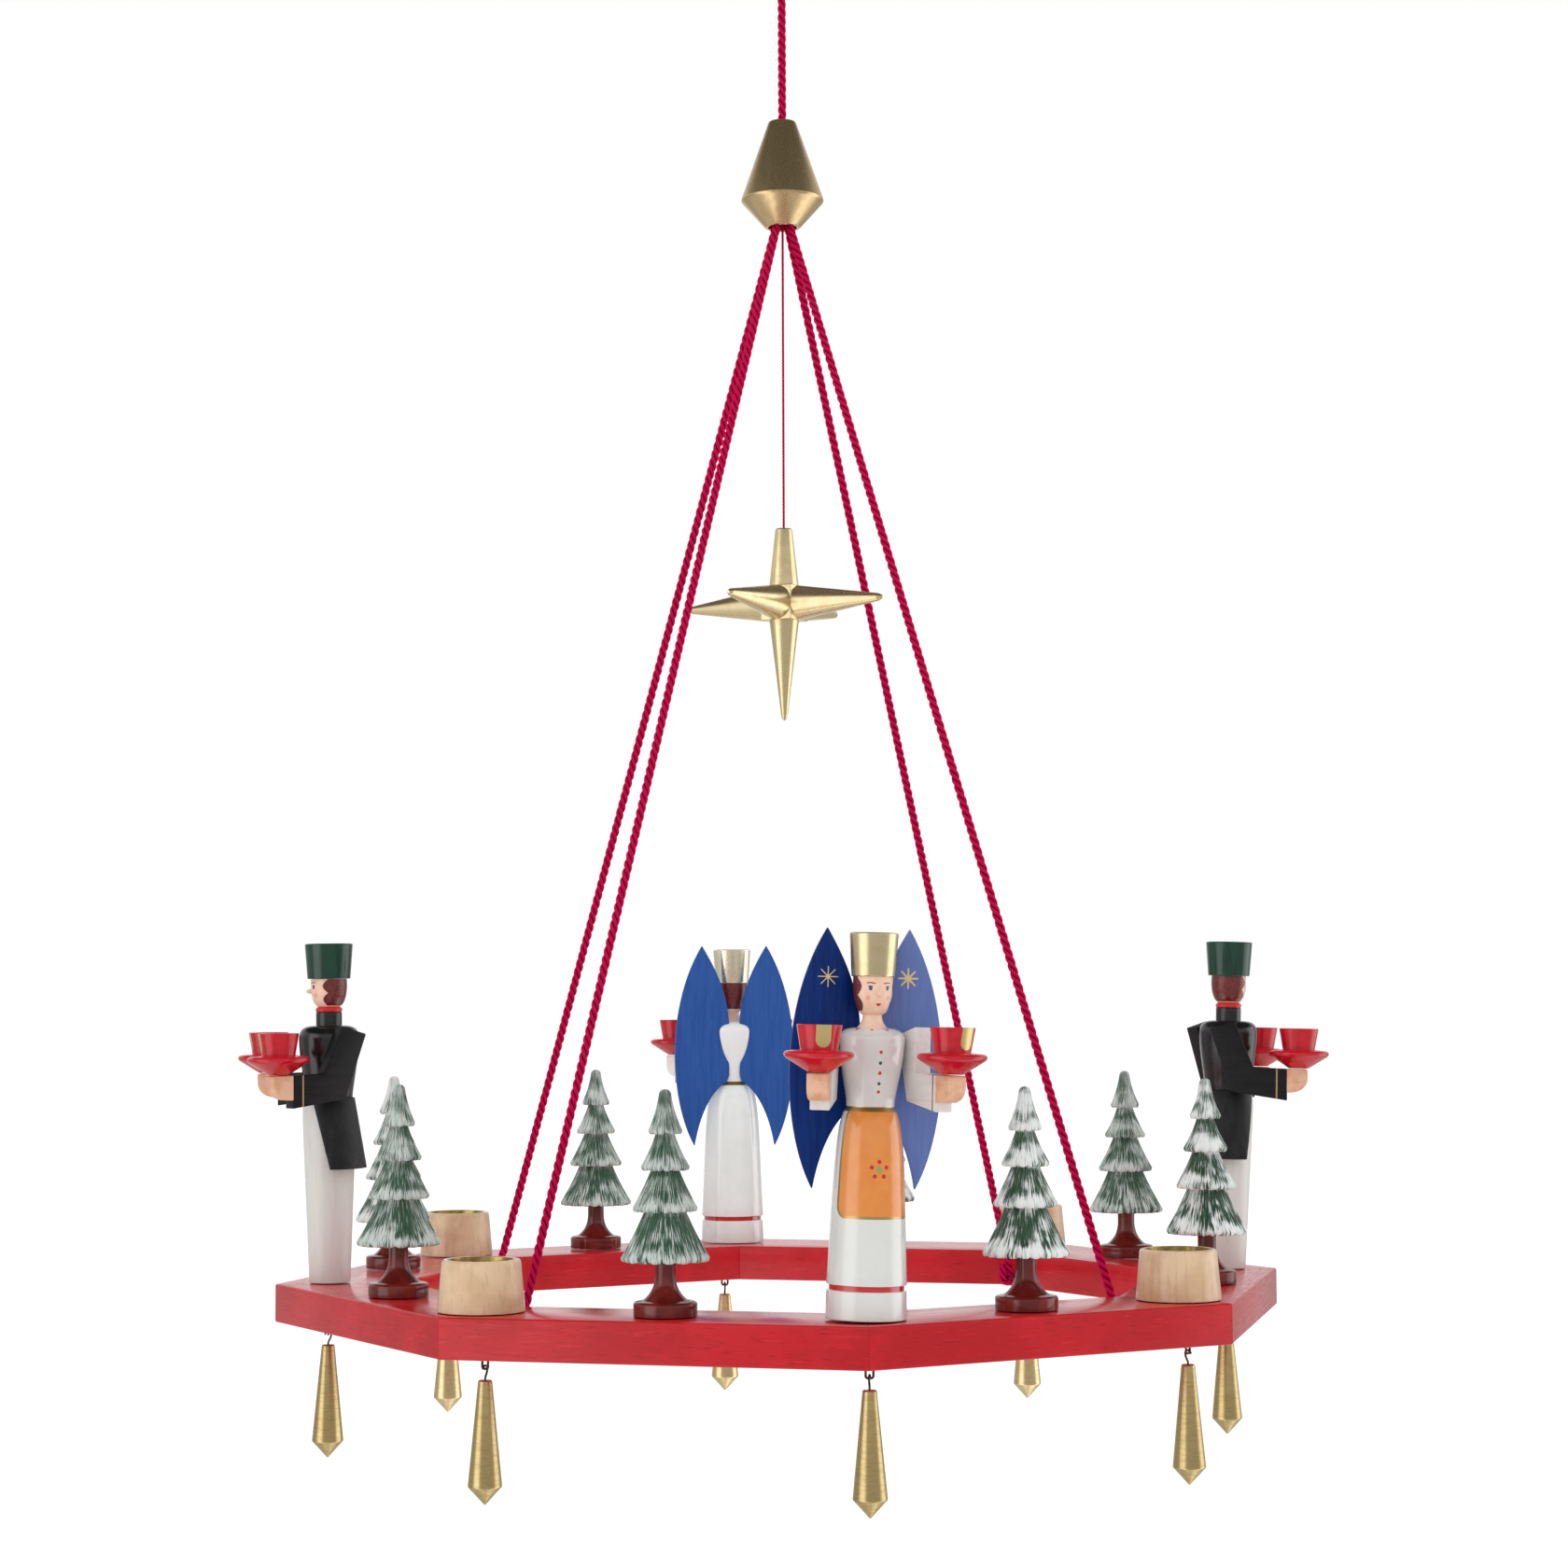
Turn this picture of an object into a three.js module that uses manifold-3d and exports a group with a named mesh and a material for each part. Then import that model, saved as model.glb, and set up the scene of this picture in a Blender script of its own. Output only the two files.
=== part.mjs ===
// Hanging candle holder: a lacquered octagon ring on four cords, with turned figures,
// trees and candle cups standing on it, gold drops below it and a gold star inside it.
// Millimetres, +Z up. The origin is the point where the hanging loop bears on its hook.

import * as THREE from 'three';
import { mergeVertices } from 'three/addons/utils/BufferGeometryUtils.js';
import Module from 'manifold-3d';

const wasm = await Module();
wasm.setup();

// Ring of mitred rails
const CORNERS = 8;
const RING_RADIUS = 200;
const RAIL_WIDTH = 43.8;
const RAIL_THICKNESS = 14.7;
const RAIL_CHAMFER = 0.7;
const GLUE_LINE = 0.3;

// Cords, thread and their knots
const CORD_D = 3.2;
const CORD_SIDES = 8;
const THREAD_D = 1;
const KNOT_D = 8.4;
const KNOT_HEIGHT = 7;
const LOOP_WIDTH = 20;
const LOOP_HEIGHT = 28;
const HANGING_RUN = 57.2;
const CORD_SPREAD_AT_HUB = 3.9;
const CLEARANCE = 0.3;

// Hub, a turned double cone
const HUB_BOTTOM = 420.7;
const HUB_HEIGHT = 43.7;
const HUB_WIDEST_ABOVE_BOTTOM = 11;
const HUB_D = 33.7;
const HUB_TOP_D = 11;
const HUB_BOTTOM_D = 14;
const HUB_EDGE = 1;
const HUB_POCKET_DEPTH = 24;

// Star, six turned rays on a cube
const STAR_CORE = 14;
const STAR_CENTRE_BELOW_HUB = 153;
const STAR_REACH = 44.5;
const STAR_RAY_TIP_D = 2.8;
const STAR_TOP_LENGTH = 23.3;
const STAR_TOP_BASE_D = 11.9;
const STAR_TOP_END_D = 6.8;
const STAR_FOOT_LENGTH = 40;
const STAR_FOOT_TIP_D = 2.4;
const STAR_TURN = -37;
const THREAD_INTO_STAR = 4;

// Wire staples under the corners and on the inner faces
const WIRE_D = 0.9;
const STAPLE_WIDTH = 3.6;
const STAPLE_DROP = 5.1;
const STAPLE_BEND = 0.8;
const STAPLE_BITE = 3;
const WIRE_SIDES = 5;
const CORD_STAPLE_WIDTH = 7.4;
const CORD_STAPLE_REACH = 4.6;
const CORD_STAPLE_BELOW_TOP = 10.5;
const CORD_STAPLE_FROM_CORNER = 12;
const CORD_END_WIDTH = 7.3;
const CORD_END_THICKNESS = 3.6;
const CORD_END_HEIGHT = 9;
// Rails that carry a cord, with the side of the rail's middle on which its staple sits
const CORD_FIXINGS = [{ rail: 1, side: 1 }, { rail: 2, side: -1 }, { rail: 5, side: 1 }, { rail: 6, side: -1 }];

// Drops on their wire hooks
const DROP_INSET = 20.4;
const DROP_BESIDE_MITRE = 3.4;
const DROP_BODY = 36.8;
const DROP_POINT = 6.3;
const DROP_D = 12.1;
const DROP_TOP_D = 4.9;
const DROP_EDGE = 0.5;
const HOOK_WIRE_D = 0.8;
const HOOK_SHANK = 3.9;
const HOOK_BITE = 5;

// Candle cups and their brass inserts
const CORNER_PIECE_INSET = 22;
const CUP_HEIGHT = 18.2;
const CUP_FOOT_D = 31.1;
const CUP_TOP_D = 27.8;
const CUP_EDGE = 1.2;
const CANDLE_D = 22;
const CANDLE_PLAY = 0.2;
const CANDLE_TAPER = 0.6;
const INSERT_WALL = 0.5;
const INSERT_DEPTH = 13;

// Trees, each turned from one piece
const TREE_INSET = 18.4;
const TREE_HEIGHT = 78;
const TREE_FOOT_D = 22.3;
const TREE_FOOT_HEIGHT = 4.9;
const TREE_TRUNK_D = 7;
const TREE_SKIRT_Z = 18.2;
const TREE_LIP = 1.9;
const TREE_TIP_D = 4.2;
// Rim diameter and neck diameter of each skirt, with the height of its rim
const LOWEST_SKIRT = { rim: 31, neck: 14.5, z: 20.1 };
const SECOND_SKIRT = { rim: 22.7, neck: 10, z: 37.3 };
const THIRD_SKIRT = { rim: 17, neck: 6.6, z: 51.4 };
const TOP_SKIRT = { rim: 12, neck: 4.2, z: 63.9 };
const TREE_SKIRTS = [LOWEST_SKIRT, SECOND_SKIRT, THIRD_SKIRT, TOP_SKIRT];

// Candle holders on the figures' hands
const HOLDER_HEIGHT = 15.9;
const HOLDER_TOP_D = 15.6;
const HOLDER_STEM_D = 12.7;
const HOLDER_FOOT_D = 7.7;
const SAUCER_D = 23.8;
const SAUCER_Z = 4.6;
const SAUCER_THICKNESS = 2.4;
const SMALL_CANDLE_D = 10.4;
const SMALL_CANDLE_PLAY = 0.2;
const HOLDER_SOCKET = 7.6;

// Arms, sawn from board
const ARM_THICKNESS = 6.8;
const ARM_SPLAY = 20;
const HAND_FORWARD = 21.5;
const HAND_BESIDE = 23;
const SLEEVE_HEIGHT = 12.6;
const HAND_HEIGHT = 9.4;
const HAND_LENGTH = 7.6;

// Angel
const ANGEL = {
  baseD: 28.2, baseHeight: 9.8, grooveD: 25.8, grooveHeight: 1.8, skirtD: 27.8,
  waistD: 16.2, waistZ: 72, shoulderD: 22.9, shoulderZ: 94.4, neckD: 9.2, neckZ: 98.9,
  chinD: 6.6, chinZ: 103.2, headD: 14, browZ: 116.2, crownFootD: 14.9, crownD: 17, topZ: 131.3,
  handTop: 83.4, shoulderFront: 4.5, shoulderBack: -5.5, elbowBack: 0.5,
};
const WING_BEHIND = 8.5;
const WING_THICKNESS = 2;
const WING_TIP = { x: 14.6, z: 133 };
const WING_FOOT = { x: 18.1, z: 43.2 };
const WING_OUTER = 25.9;
const WING_INNER = 2.4;

// Miner
const MINER = {
  footD: 15.8, hipD: 20.6, waistD: 18, waistZ: 71.6, shoulderD: 23.4, shoulderZ: 94,
  collarD: 10.1, collarZ: 99.4, neckZ: 104.6, beadD: 10.6, beadHeight: 1.8,
  headD: 14.3, hatZ: 117.5, hatFootD: 16.7, hatD: 18.7, topZ: 131.2,
  handTop: 80.6, shoulderFront: -2.4, shoulderBack: -11.8, elbowBack: -3.5,
};
const BACK_APRON_THICKNESS = 1.3;
const BACK_APRON_FOOT_D = 29;
const BACK_APRON_FOOT_Z = 44;
const BACK_APRON_FRONT_TOP = 6.5;
const BACK_APRON_FRONT_FOOT = -0.5;

// Facets of the turned pieces
const TURNED_LARGE = 14;
const TURNED_SMALL = 10;

// Figures by corner, counted from the front; each is glued by hand, so it is set off its corner by a little
// and turns and leans by a few degrees
const FIGURES = [
  { corner: 0, name: 'angel_front', kind: 'angel', turn: 3.5, aside: 2.5, out: 0, leanAside: 1.6, leanOut: 0 },
  { corner: 2, name: 'miner_left', kind: 'miner', turn: 6, aside: 0, out: 1.1, leanAside: 0, leanOut: 0.5 },
  { corner: 4, name: 'angel_rear', kind: 'angel', turn: 0, aside: 0, out: 0, leanAside: 0, leanOut: 0 },
  { corner: 6, name: 'miner_right', kind: 'miner', turn: 4, aside: 0, out: 0.9, leanAside: 0, leanOut: 1.4 },
];

const STEP_ANGLE = (2 * Math.PI) / CORNERS;
const HALF_STEP = STEP_ANGLE / 2;
const APOTHEM = RING_RADIUS * Math.cos(HALF_STEP);
const INNER_APOTHEM = APOTHEM - RAIL_WIDTH;
const DROP_RADIUS = RING_RADIUS - DROP_INSET;
const CORNER_PIECE_RADIUS = RING_RADIUS - CORNER_PIECE_INSET;
const TREE_RADIUS = APOTHEM - TREE_INSET;

// Height of the hub's top and of the loop's knot and bearing point above the ring's top
const HUB_TOP = HUB_BOTTOM + HUB_HEIGHT;
const LOOP_KNOT = HUB_TOP + HANGING_RUN;
const HANG_HEIGHT = LOOP_KNOT + LOOP_HEIGHT - CORD_D / 2;
const degrees = THREE.MathUtils.degToRad;

const finish = (color, roughness, metalness = 0) =>
  new THREE.MeshStandardMaterial({ color, roughness, metalness });
const RED_LACQUER = finish(0xc8232d, 0.35);
const HOLDER_RED = finish(0xc81428, 0.3);
const CRIMSON = finish(0xb8083c, 0.9);
const GOLD = finish(0xc9b57a, 0.4, 0.8);
const BRASS = finish(0xb59a4a, 0.3, 1);
const PALE_WOOD = finish(0xe1c39b, 0.6);
const TREE_GREEN = finish(0x6f8a7c, 0.8);
const WHITE_LACQUER = finish(0xe6e4e0, 0.3);
const BLACK_LACQUER = finish(0x17171a, 0.35);
const SKIN = finish(0xebbea0, 0.5);
const WING_BLUE = finish(0x284b91, 0.45);

// Route through given points, so that a swept section has one ring on each of them
class Route extends THREE.Curve {
  constructor(points) {
    super();
    this.points = points;
  }

  getUtoTmapping(u) {
    return u;
  }

  getPoint(t, target = new THREE.Vector3()) {
    const place = t * (this.points.length - 1);
    const index = Math.min(Math.floor(place), this.points.length - 2);
    return target.lerpVectors(this.points[index], this.points[index + 1], place - index);
  }

  getTangent(t, target = new THREE.Vector3()) {
    const last = this.points.length - 1;
    const index = Math.round(t * last);
    const before = this.points[Math.max(index - 1, 0)];
    const here = this.points[index];
    const after = this.points[Math.min(index + 1, last)];
    const arriving = here.clone().sub(before).normalize();
    const leaving = after.clone().sub(here).normalize();
    return target.addVectors(arriving, leaving).normalize();
  }
}

// Merged mesh without empty triangles, its faces pointing out
function closedMesh(geometry) {
  geometry.deleteAttribute('normal');
  geometry.deleteAttribute('uv');
  const merged = mergeVertices(geometry, 1e-4);
  const position = merged.getAttribute('position');
  const corner = (i) => new THREE.Vector3().fromBufferAttribute(position, i);
  const triangles = [];
  let volume = 0;
  for (let i = 0; i < merged.index.count; i += 3) {
    const [a, b, c] = [0, 1, 2].map((step) => merged.index.getX(i + step));
    if (a !== b && b !== c && c !== a) {
      triangles.push(a, b, c);
      volume += corner(a).dot(corner(b).cross(corner(c)));
    }
  }
  if (volume < 0) {
    triangles.reverse();
  }
  merged.setIndex(triangles);
  return merged;
}

function toSolid(geometry) {
  const merged = closedMesh(geometry);
  return new wasm.Manifold(new wasm.Mesh({
    numProp: 3,
    vertProperties: new Float32Array(merged.getAttribute('position').array),
    triVerts: new Uint32Array(merged.index.array),
  }));
}

function fromSolid(solid) {
  const { vertProperties, triVerts } = solid.getMesh();
  const geometry = new THREE.BufferGeometry();
  geometry.setAttribute('position', new THREE.BufferAttribute(new Float32Array(vertProperties), 3));
  geometry.setIndex(new THREE.BufferAttribute(new Uint32Array(triVerts), 1));
  return geometry;
}

function join(geometries) {
  return geometries.map(toSolid).reduce((whole, piece) => whole.add(piece));
}

function place(parent, name, geometry, material) {
  const mesh = new THREE.Mesh(geometry, material);
  mesh.name = name;
  geometry.computeVertexNormals();
  parent.add(mesh);
}

// Piece turned about Z from [radius, height] pairs
function turned(profile, facets) {
  const outline = profile.map(([radius, height]) => new THREE.Vector2(radius, height));
  return new THREE.LatheGeometry(outline, facets).rotateX(Math.PI / 2);
}

// Points of one smooth stretch of a turned profile, without its first point
function sweepOf(start, pullOut, pullIn, end, pieces) {
  const curve = new THREE.CubicBezierCurve(
    ...[start, pullOut, pullIn, end].map(([radius, height]) => new THREE.Vector2(radius, height)),
  );
  return curve.getPoints(pieces).slice(1).map((point) => [point.x, point.y]);
}

// Round bar swept along points
function swept(points, diameter, sides) {
  const section = new THREE.Shape(Array.from({ length: sides }, (_, i) => {
    const angle = (2 * Math.PI * i) / sides;
    return new THREE.Vector2(Math.cos(angle), Math.sin(angle)).multiplyScalar(diameter / 2);
  }));
  return new THREE.ExtrudeGeometry(section, {
    steps: points.length - 1, bevelEnabled: false, extrudePath: new Route(points),
  });
}

// Board sawn to an outline of (forward, height) and centred on its thickness
function board(outline, thickness) {
  const geometry = new THREE.ExtrudeGeometry(outline, {
    depth: thickness, bevelEnabled: false, curveSegments: 5,
  });
  geometry.translate(0, 0, -thickness / 2);
  return geometry;
}

// Frame of a corner or of the middle of a rail: outward is -Y
function turnedFrame(parent, steps) {
  const frame = new THREE.Group();
  frame.rotation.z = -steps * STEP_ANGLE;
  parent.add(frame);
  return frame;
}

const part = new THREE.Group();
const body = new THREE.Group();
body.position.z = -HANG_HEIGHT;
part.add(body);

// U of wire in the XZ plane, with its bar along X at the given depth below z = 0
function staple(width, depth, wire) {
  const side = (width - wire) / 2;
  const low = -depth + wire / 2;
  const half = [
    [side, STAPLE_BITE], [side, low + STAPLE_BEND], [side - 0.3 * STAPLE_BEND, low + 0.3 * STAPLE_BEND],
    [side - STAPLE_BEND, low],
  ];
  const mirrored = half.map(([x, z]) => [-x, z]).reverse();
  return [...half, ...mirrored].map(([x, z]) => new THREE.Vector3(x, 0, z));
}

const CORD_BAR = {
  x: INNER_APOTHEM * Math.tan(HALF_STEP) - CORD_STAPLE_FROM_CORNER,
  y: -INNER_APOTHEM + CORD_STAPLE_REACH - WIRE_D / 2,
  z: -CORD_STAPLE_BELOW_TOP,
};

function cordStaple(wire, side) {
  const bar = swept(staple(CORD_STAPLE_WIDTH, CORD_STAPLE_REACH, WIRE_D), wire, WIRE_SIDES);
  return bar.rotateX(Math.PI / 2).translate(side * CORD_BAR.x, -INNER_APOTHEM, CORD_BAR.z);
}

// Rails: a chamfered bar, mitred by the sector that it fills
function railGeometry(fixing) {
  const [low, high, top, bottom] = [-APOTHEM, -INNER_APOTHEM, 0, -RAIL_THICKNESS];
  const section = new THREE.Shape([
    [low + RAIL_CHAMFER, bottom], [high - RAIL_CHAMFER, bottom], [high, bottom + RAIL_CHAMFER],
    [high, top - RAIL_CHAMFER], [high - RAIL_CHAMFER, top], [low + RAIL_CHAMFER, top],
    [low, top - RAIL_CHAMFER], [low, bottom + RAIL_CHAMFER],
  ].map(([y, z]) => new THREE.Vector2(y, z)));
  const length = 2.2 * RING_RADIUS * Math.sin(HALF_STEP);
  const bar = new THREE.ExtrudeGeometry(section, { depth: length, bevelEnabled: false });
  bar.translate(0, 0, -length / 2);
  bar.applyMatrix4(new THREE.Matrix4().makeBasis(
    new THREE.Vector3(0, 1, 0), new THREE.Vector3(0, 0, 1), new THREE.Vector3(1, 0, 0),
  ));
  const apex = -GLUE_LINE / 2 / Math.sin(HALF_STEP);
  const reach = 1.5 * RING_RADIUS;
  const spread = (reach + apex) * Math.tan(HALF_STEP);
  const sector = new THREE.ExtrudeGeometry(
    new THREE.Shape([[0, apex], [-spread, -reach], [spread, -reach]].map(([x, y]) => new THREE.Vector2(x, y))),
    { depth: 3 * RAIL_THICKNESS, bevelEnabled: false },
  ).translate(0, 0, -2 * RAIL_THICKNESS);
  const dropStaple = swept(staple(STAPLE_WIDTH, STAPLE_DROP, WIRE_D), WIRE_D, WIRE_SIDES)
    .translate(DROP_BESIDE_MITRE, -DROP_RADIUS, -RAIL_THICKNESS)
    .rotateZ(-HALF_STEP);
  let rail = toSolid(bar).intersect(toSolid(sector)).add(toSolid(dropStaple));
  if (fixing) {
    rail = rail.add(toSolid(cordStaple(WIRE_D, fixing.side)));
  }
  return fromSolid(rail);
}

for (let k = 0; k < CORNERS; k += 1) {
  const frame = turnedFrame(body, k + 0.5);
  const fixing = CORD_FIXINGS.find(({ rail }) => rail === k);
  place(frame, `ring_rail_${k + 1}`, railGeometry(fixing), RED_LACQUER);
}

// Drops: a turned point on a wire hook that hangs over the staple's bar
const DROP_BAR_Z = -RAIL_THICKNESS - STAPLE_DROP + WIRE_D / 2;
const HOOK_BEND = WIRE_D / 2 + CLEARANCE + HOOK_WIRE_D / 2;

function dropGeometry() {
  const top = -HOOK_SHANK;
  const shoulder = top - DROP_BODY;
  const point = turned([
    [0, shoulder - DROP_POINT], [DROP_D / 2, shoulder], [DROP_TOP_D / 2, top - DROP_EDGE],
    [DROP_TOP_D / 2 - DROP_EDGE, top], [0, top],
  ], TURNED_SMALL);
  const shank = [[0, top - HOOK_BITE], [0, -2.6 * HOOK_BEND], [0.7 * HOOK_BEND, -1.5 * HOOK_BEND]];
  const bend = [-10, 40, 90, 140, 190].map((angle) => [
    HOOK_BEND * Math.cos(degrees(angle)), HOOK_BEND * Math.sin(degrees(angle)),
  ]);
  const wire = [...shank, ...bend].map(([y, z]) => new THREE.Vector3(0, y, z));
  return fromSolid(join([point, swept(wire, HOOK_WIRE_D, WIRE_SIDES)]));
}

for (let k = 0; k < CORNERS; k += 1) {
  const drop = dropGeometry().translate(DROP_BESIDE_MITRE, -DROP_RADIUS, DROP_BAR_Z);
  place(turnedFrame(body, k), `drop_${k + 1}`, drop, GOLD);
}

// Trees at the middle of the rails
function treeGeometry() {
  const foot = TREE_FOOT_D / 2;
  const trunk = TREE_TRUNK_D / 2;
  const neckOfFoot = [0.72 * foot, TREE_FOOT_HEIGHT + 0.5];
  const profile = [
    [0, 0], [foot, 0], [foot, TREE_FOOT_HEIGHT], neckOfFoot,
    ...sweepOf(neckOfFoot, [0.5 * foot, 1.4 * TREE_FOOT_HEIGHT], [trunk, 1.9 * TREE_FOOT_HEIGHT],
      [trunk, 0.7 * TREE_SKIRT_Z], 2),
    [trunk, TREE_SKIRT_Z],
  ];
  TREE_SKIRTS.forEach(({ rim, neck, z }, i) => {
    const above = TREE_SKIRTS[i + 1];
    const neckZ = above ? above.z - 0.7 * TREE_LIP : TREE_HEIGHT - 0.4 * TREE_TIP_D;
    const rise = neckZ - z;
    profile.push([rim / 2 - 0.3 * TREE_LIP, z - 0.7 * TREE_LIP], [rim / 2, z]);
    profile.push([neck / 2 + 0.44 * (rim - neck) / 2, z + 0.5 * rise], [neck / 2, neckZ]);
  });
  profile.push([0.3 * TREE_TIP_D, TREE_HEIGHT], [0, TREE_HEIGHT]);
  return fromSolid(toSolid(turned(profile, TURNED_SMALL)));
}

for (let k = 0; k < CORNERS; k += 1) {
  const tree = treeGeometry().translate(0, -TREE_RADIUS, GLUE_LINE);
  place(turnedFrame(body, k + 0.5), `tree_${k + 1}`, tree, TREE_GREEN);
}

// Candle cups with drawn brass inserts, at the corners between the figures
const INSERT_BORE = CANDLE_D / 2 + CANDLE_PLAY;
const INSERT_OUTER = INSERT_BORE + INSERT_WALL;
const INSERT_FLOOR = CUP_HEIGHT - INSERT_DEPTH + INSERT_WALL;

function cupGeometry() {
  const [foot, top, bore] = [CUP_FOOT_D / 2, CUP_TOP_D / 2, INSERT_OUTER + CLEARANCE];
  const seat = CUP_HEIGHT - INSERT_DEPTH - CLEARANCE;
  return turned([
    [0, 0], [foot - 0.4 * CUP_EDGE, 0], [foot, 0.4 * CUP_EDGE], [top, CUP_HEIGHT - CUP_EDGE],
    [top - 0.3 * CUP_EDGE, CUP_HEIGHT - 0.3 * CUP_EDGE], [top - CUP_EDGE, CUP_HEIGHT],
    [bore, CUP_HEIGHT], [bore, seat], [0, seat],
  ], TURNED_LARGE);
}

function insertGeometry() {
  const under = CUP_HEIGHT - INSERT_DEPTH;
  return turned([
    [0, under], [INSERT_OUTER, under], [INSERT_OUTER, CUP_HEIGHT], [INSERT_BORE, CUP_HEIGHT],
    [INSERT_BORE - CANDLE_TAPER / 2, INSERT_FLOOR], [0, INSERT_FLOOR],
  ], TURNED_LARGE);
}

for (let i = 0; i < CORNERS / 2; i += 1) {
  const frame = turnedFrame(body, 2 * i + 1);
  const stand = (geometry) => closedMesh(geometry).translate(0, -CORNER_PIECE_RADIUS, GLUE_LINE);
  place(frame, `candle_cup_${i + 1}`, stand(cupGeometry()), PALE_WOOD);
  place(frame, `brass_insert_${i + 1}`, stand(insertGeometry()), BRASS);
}

// Figures face outward, -Y in their own frames
function holderGeometry() {
  const [foot, rim, stem, top] = [HOLDER_FOOT_D, SAUCER_D, HOLDER_STEM_D, HOLDER_TOP_D].map((d) => d / 2);
  const bore = SMALL_CANDLE_D / 2 + SMALL_CANDLE_PLAY;
  const saucerTop = SAUCER_Z + SAUCER_THICKNESS;
  const lip = 0.12 * (top - bore);
  return closedMesh(turned([
    [0, 0], [foot, 0], [rim - 0.3 * SAUCER_THICKNESS, SAUCER_Z], [rim, SAUCER_Z + 0.35 * SAUCER_THICKNESS],
    [rim, SAUCER_Z + 0.7 * SAUCER_THICKNESS], [rim - 0.3 * SAUCER_THICKNESS, saucerTop],
    [stem, saucerTop + 0.2 * SAUCER_THICKNESS], [top, HOLDER_HEIGHT - lip], [top - lip, HOLDER_HEIGHT],
    [bore, HOLDER_HEIGHT], [bore - 0.05 * bore, HOLDER_HEIGHT - HOLDER_SOCKET],
    [0, HOLDER_HEIGHT - HOLDER_SOCKET],
  ], TURNED_SMALL));
}

// Bent arm with sleeve and hand, splayed outward from the shoulder to the hand
function armGeometry(figure, side) {
  const splay = degrees(ARM_SPLAY);
  const along = (forward) => (forward - HAND_FORWARD) / Math.cos(splay);
  const top = figure.handTop;
  const sleeveEnd = HAND_FORWARD - 0.55 * HAND_LENGTH;
  const handEnd = HAND_FORWARD + 0.45 * HAND_LENGTH;
  const outline = new THREE.Shape();
  outline.moveTo(along(figure.shoulderFront), figure.shoulderTop);
  outline.lineTo(along(sleeveEnd - SLEEVE_HEIGHT), top + 0.4);
  outline.lineTo(along(sleeveEnd), top);
  outline.lineTo(along(handEnd), top);
  outline.lineTo(along(handEnd), top - 0.4 * HAND_HEIGHT);
  outline.quadraticCurveTo(along(handEnd), top - HAND_HEIGHT, along(sleeveEnd), top - HAND_HEIGHT);
  outline.lineTo(along(sleeveEnd), top - SLEEVE_HEIGHT);
  outline.lineTo(along(figure.elbowBack), top - 0.75 * SLEEVE_HEIGHT);
  outline.lineTo(along(figure.shoulderBack), figure.shoulderTop - 3);
  const arm = board(outline, ARM_THICKNESS);
  arm.applyMatrix4(new THREE.Matrix4().makeBasis(
    new THREE.Vector3(0, -1, 0), new THREE.Vector3(0, 0, 1), new THREE.Vector3(-1, 0, 0),
  ));
  arm.rotateZ(side * splay);
  return arm.translate(side * HAND_BESIDE, -HAND_FORWARD, 0);
}

function angelProfile(margin = 0) {
  const a = ANGEL;
  const grooveTop = a.baseHeight + a.grooveHeight;
  const waist = [a.waistD / 2, a.waistZ];
  const shoulder = [a.shoulderD / 2, a.shoulderZ];
  const skirtRise = a.waistZ - grooveTop;
  const profile = [
    [0, 0], [a.baseD / 2, 0], [0.97 * a.baseD / 2, a.baseHeight],
    [a.grooveD / 2, a.baseHeight], [a.grooveD / 2, grooveTop], [a.skirtD / 2, grooveTop + 0.3],
    ...sweepOf([a.skirtD / 2, grooveTop], [0.88 * a.skirtD / 2, grooveTop + 0.46 * skirtRise],
      [0.91 * a.skirtD / 2, a.waistZ - 0.1 * skirtRise], waist, 5),
    ...sweepOf(waist, [waist[0] + 1.1, a.waistZ + 8], [shoulder[0] - 0.3, a.shoulderZ - 8], shoulder, 2),
    ...sweepOf(shoulder, [shoulder[0], a.neckZ - 1], [0.75 * shoulder[0], a.neckZ], [a.neckD / 2, a.neckZ], 3),
    [0, a.neckZ],
  ];
  return profile.map(([radius, height]) => [radius > 0 ? radius + margin : 0, height]);
}

function angelHead() {
  const a = ANGEL;
  const under = a.neckZ + GLUE_LINE;
  const [chin, brow] = [[a.chinD / 2, a.chinZ], [0.98 * a.headD / 2, a.browZ]];
  return closedMesh(turned([
    [0, under], [a.neckD / 2, under], [1.05 * chin[0], under + 2], chin,
    ...sweepOf(chin, [0.8 * a.headD / 2, a.chinZ + 0.5], [1.03 * a.headD / 2, a.chinZ + 6], brow, 4),
    [a.crownFootD / 2, a.browZ + 0.4], [a.crownD / 2, a.topZ], [a.crownD / 2 - 0.9, a.topZ],
    [a.crownD / 2 - 1.4, a.topZ - 1], [0, a.topZ - 1],
  ], TURNED_SMALL));
}

// Leaf of thin board behind the shoulder, cut to the back that it is glued to
function wingGeometry(side) {
  const { waistZ, neckZ } = ANGEL;
  const outline = new THREE.Shape();
  outline.moveTo(WING_TIP.x, WING_TIP.z);
  outline.bezierCurveTo(1.22 * WING_OUTER, WING_TIP.z - 28, 1.13 * WING_OUTER, WING_FOOT.z + 20,
    WING_FOOT.x, WING_FOOT.z);
  outline.bezierCurveTo(WING_FOOT.x - 2.5, WING_FOOT.z + 15, WING_FOOT.x - 8, waistZ - 4, WING_INNER + 1, waistZ);
  outline.lineTo(WING_INNER, waistZ + 3);
  outline.lineTo(WING_INNER, neckZ);
  outline.bezierCurveTo(WING_INNER + 1, neckZ + 14, WING_TIP.x - 6, WING_TIP.z - 10, WING_TIP.x, WING_TIP.z);
  const leaf = board(outline, WING_THICKNESS).rotateX(Math.PI / 2);
  leaf.scale(side, 1, 1).translate(0, WING_BEHIND, 0);
  return fromSolid(toSolid(leaf).subtract(toSolid(turned(angelProfile(CLEARANCE), TURNED_LARGE))));
}

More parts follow.
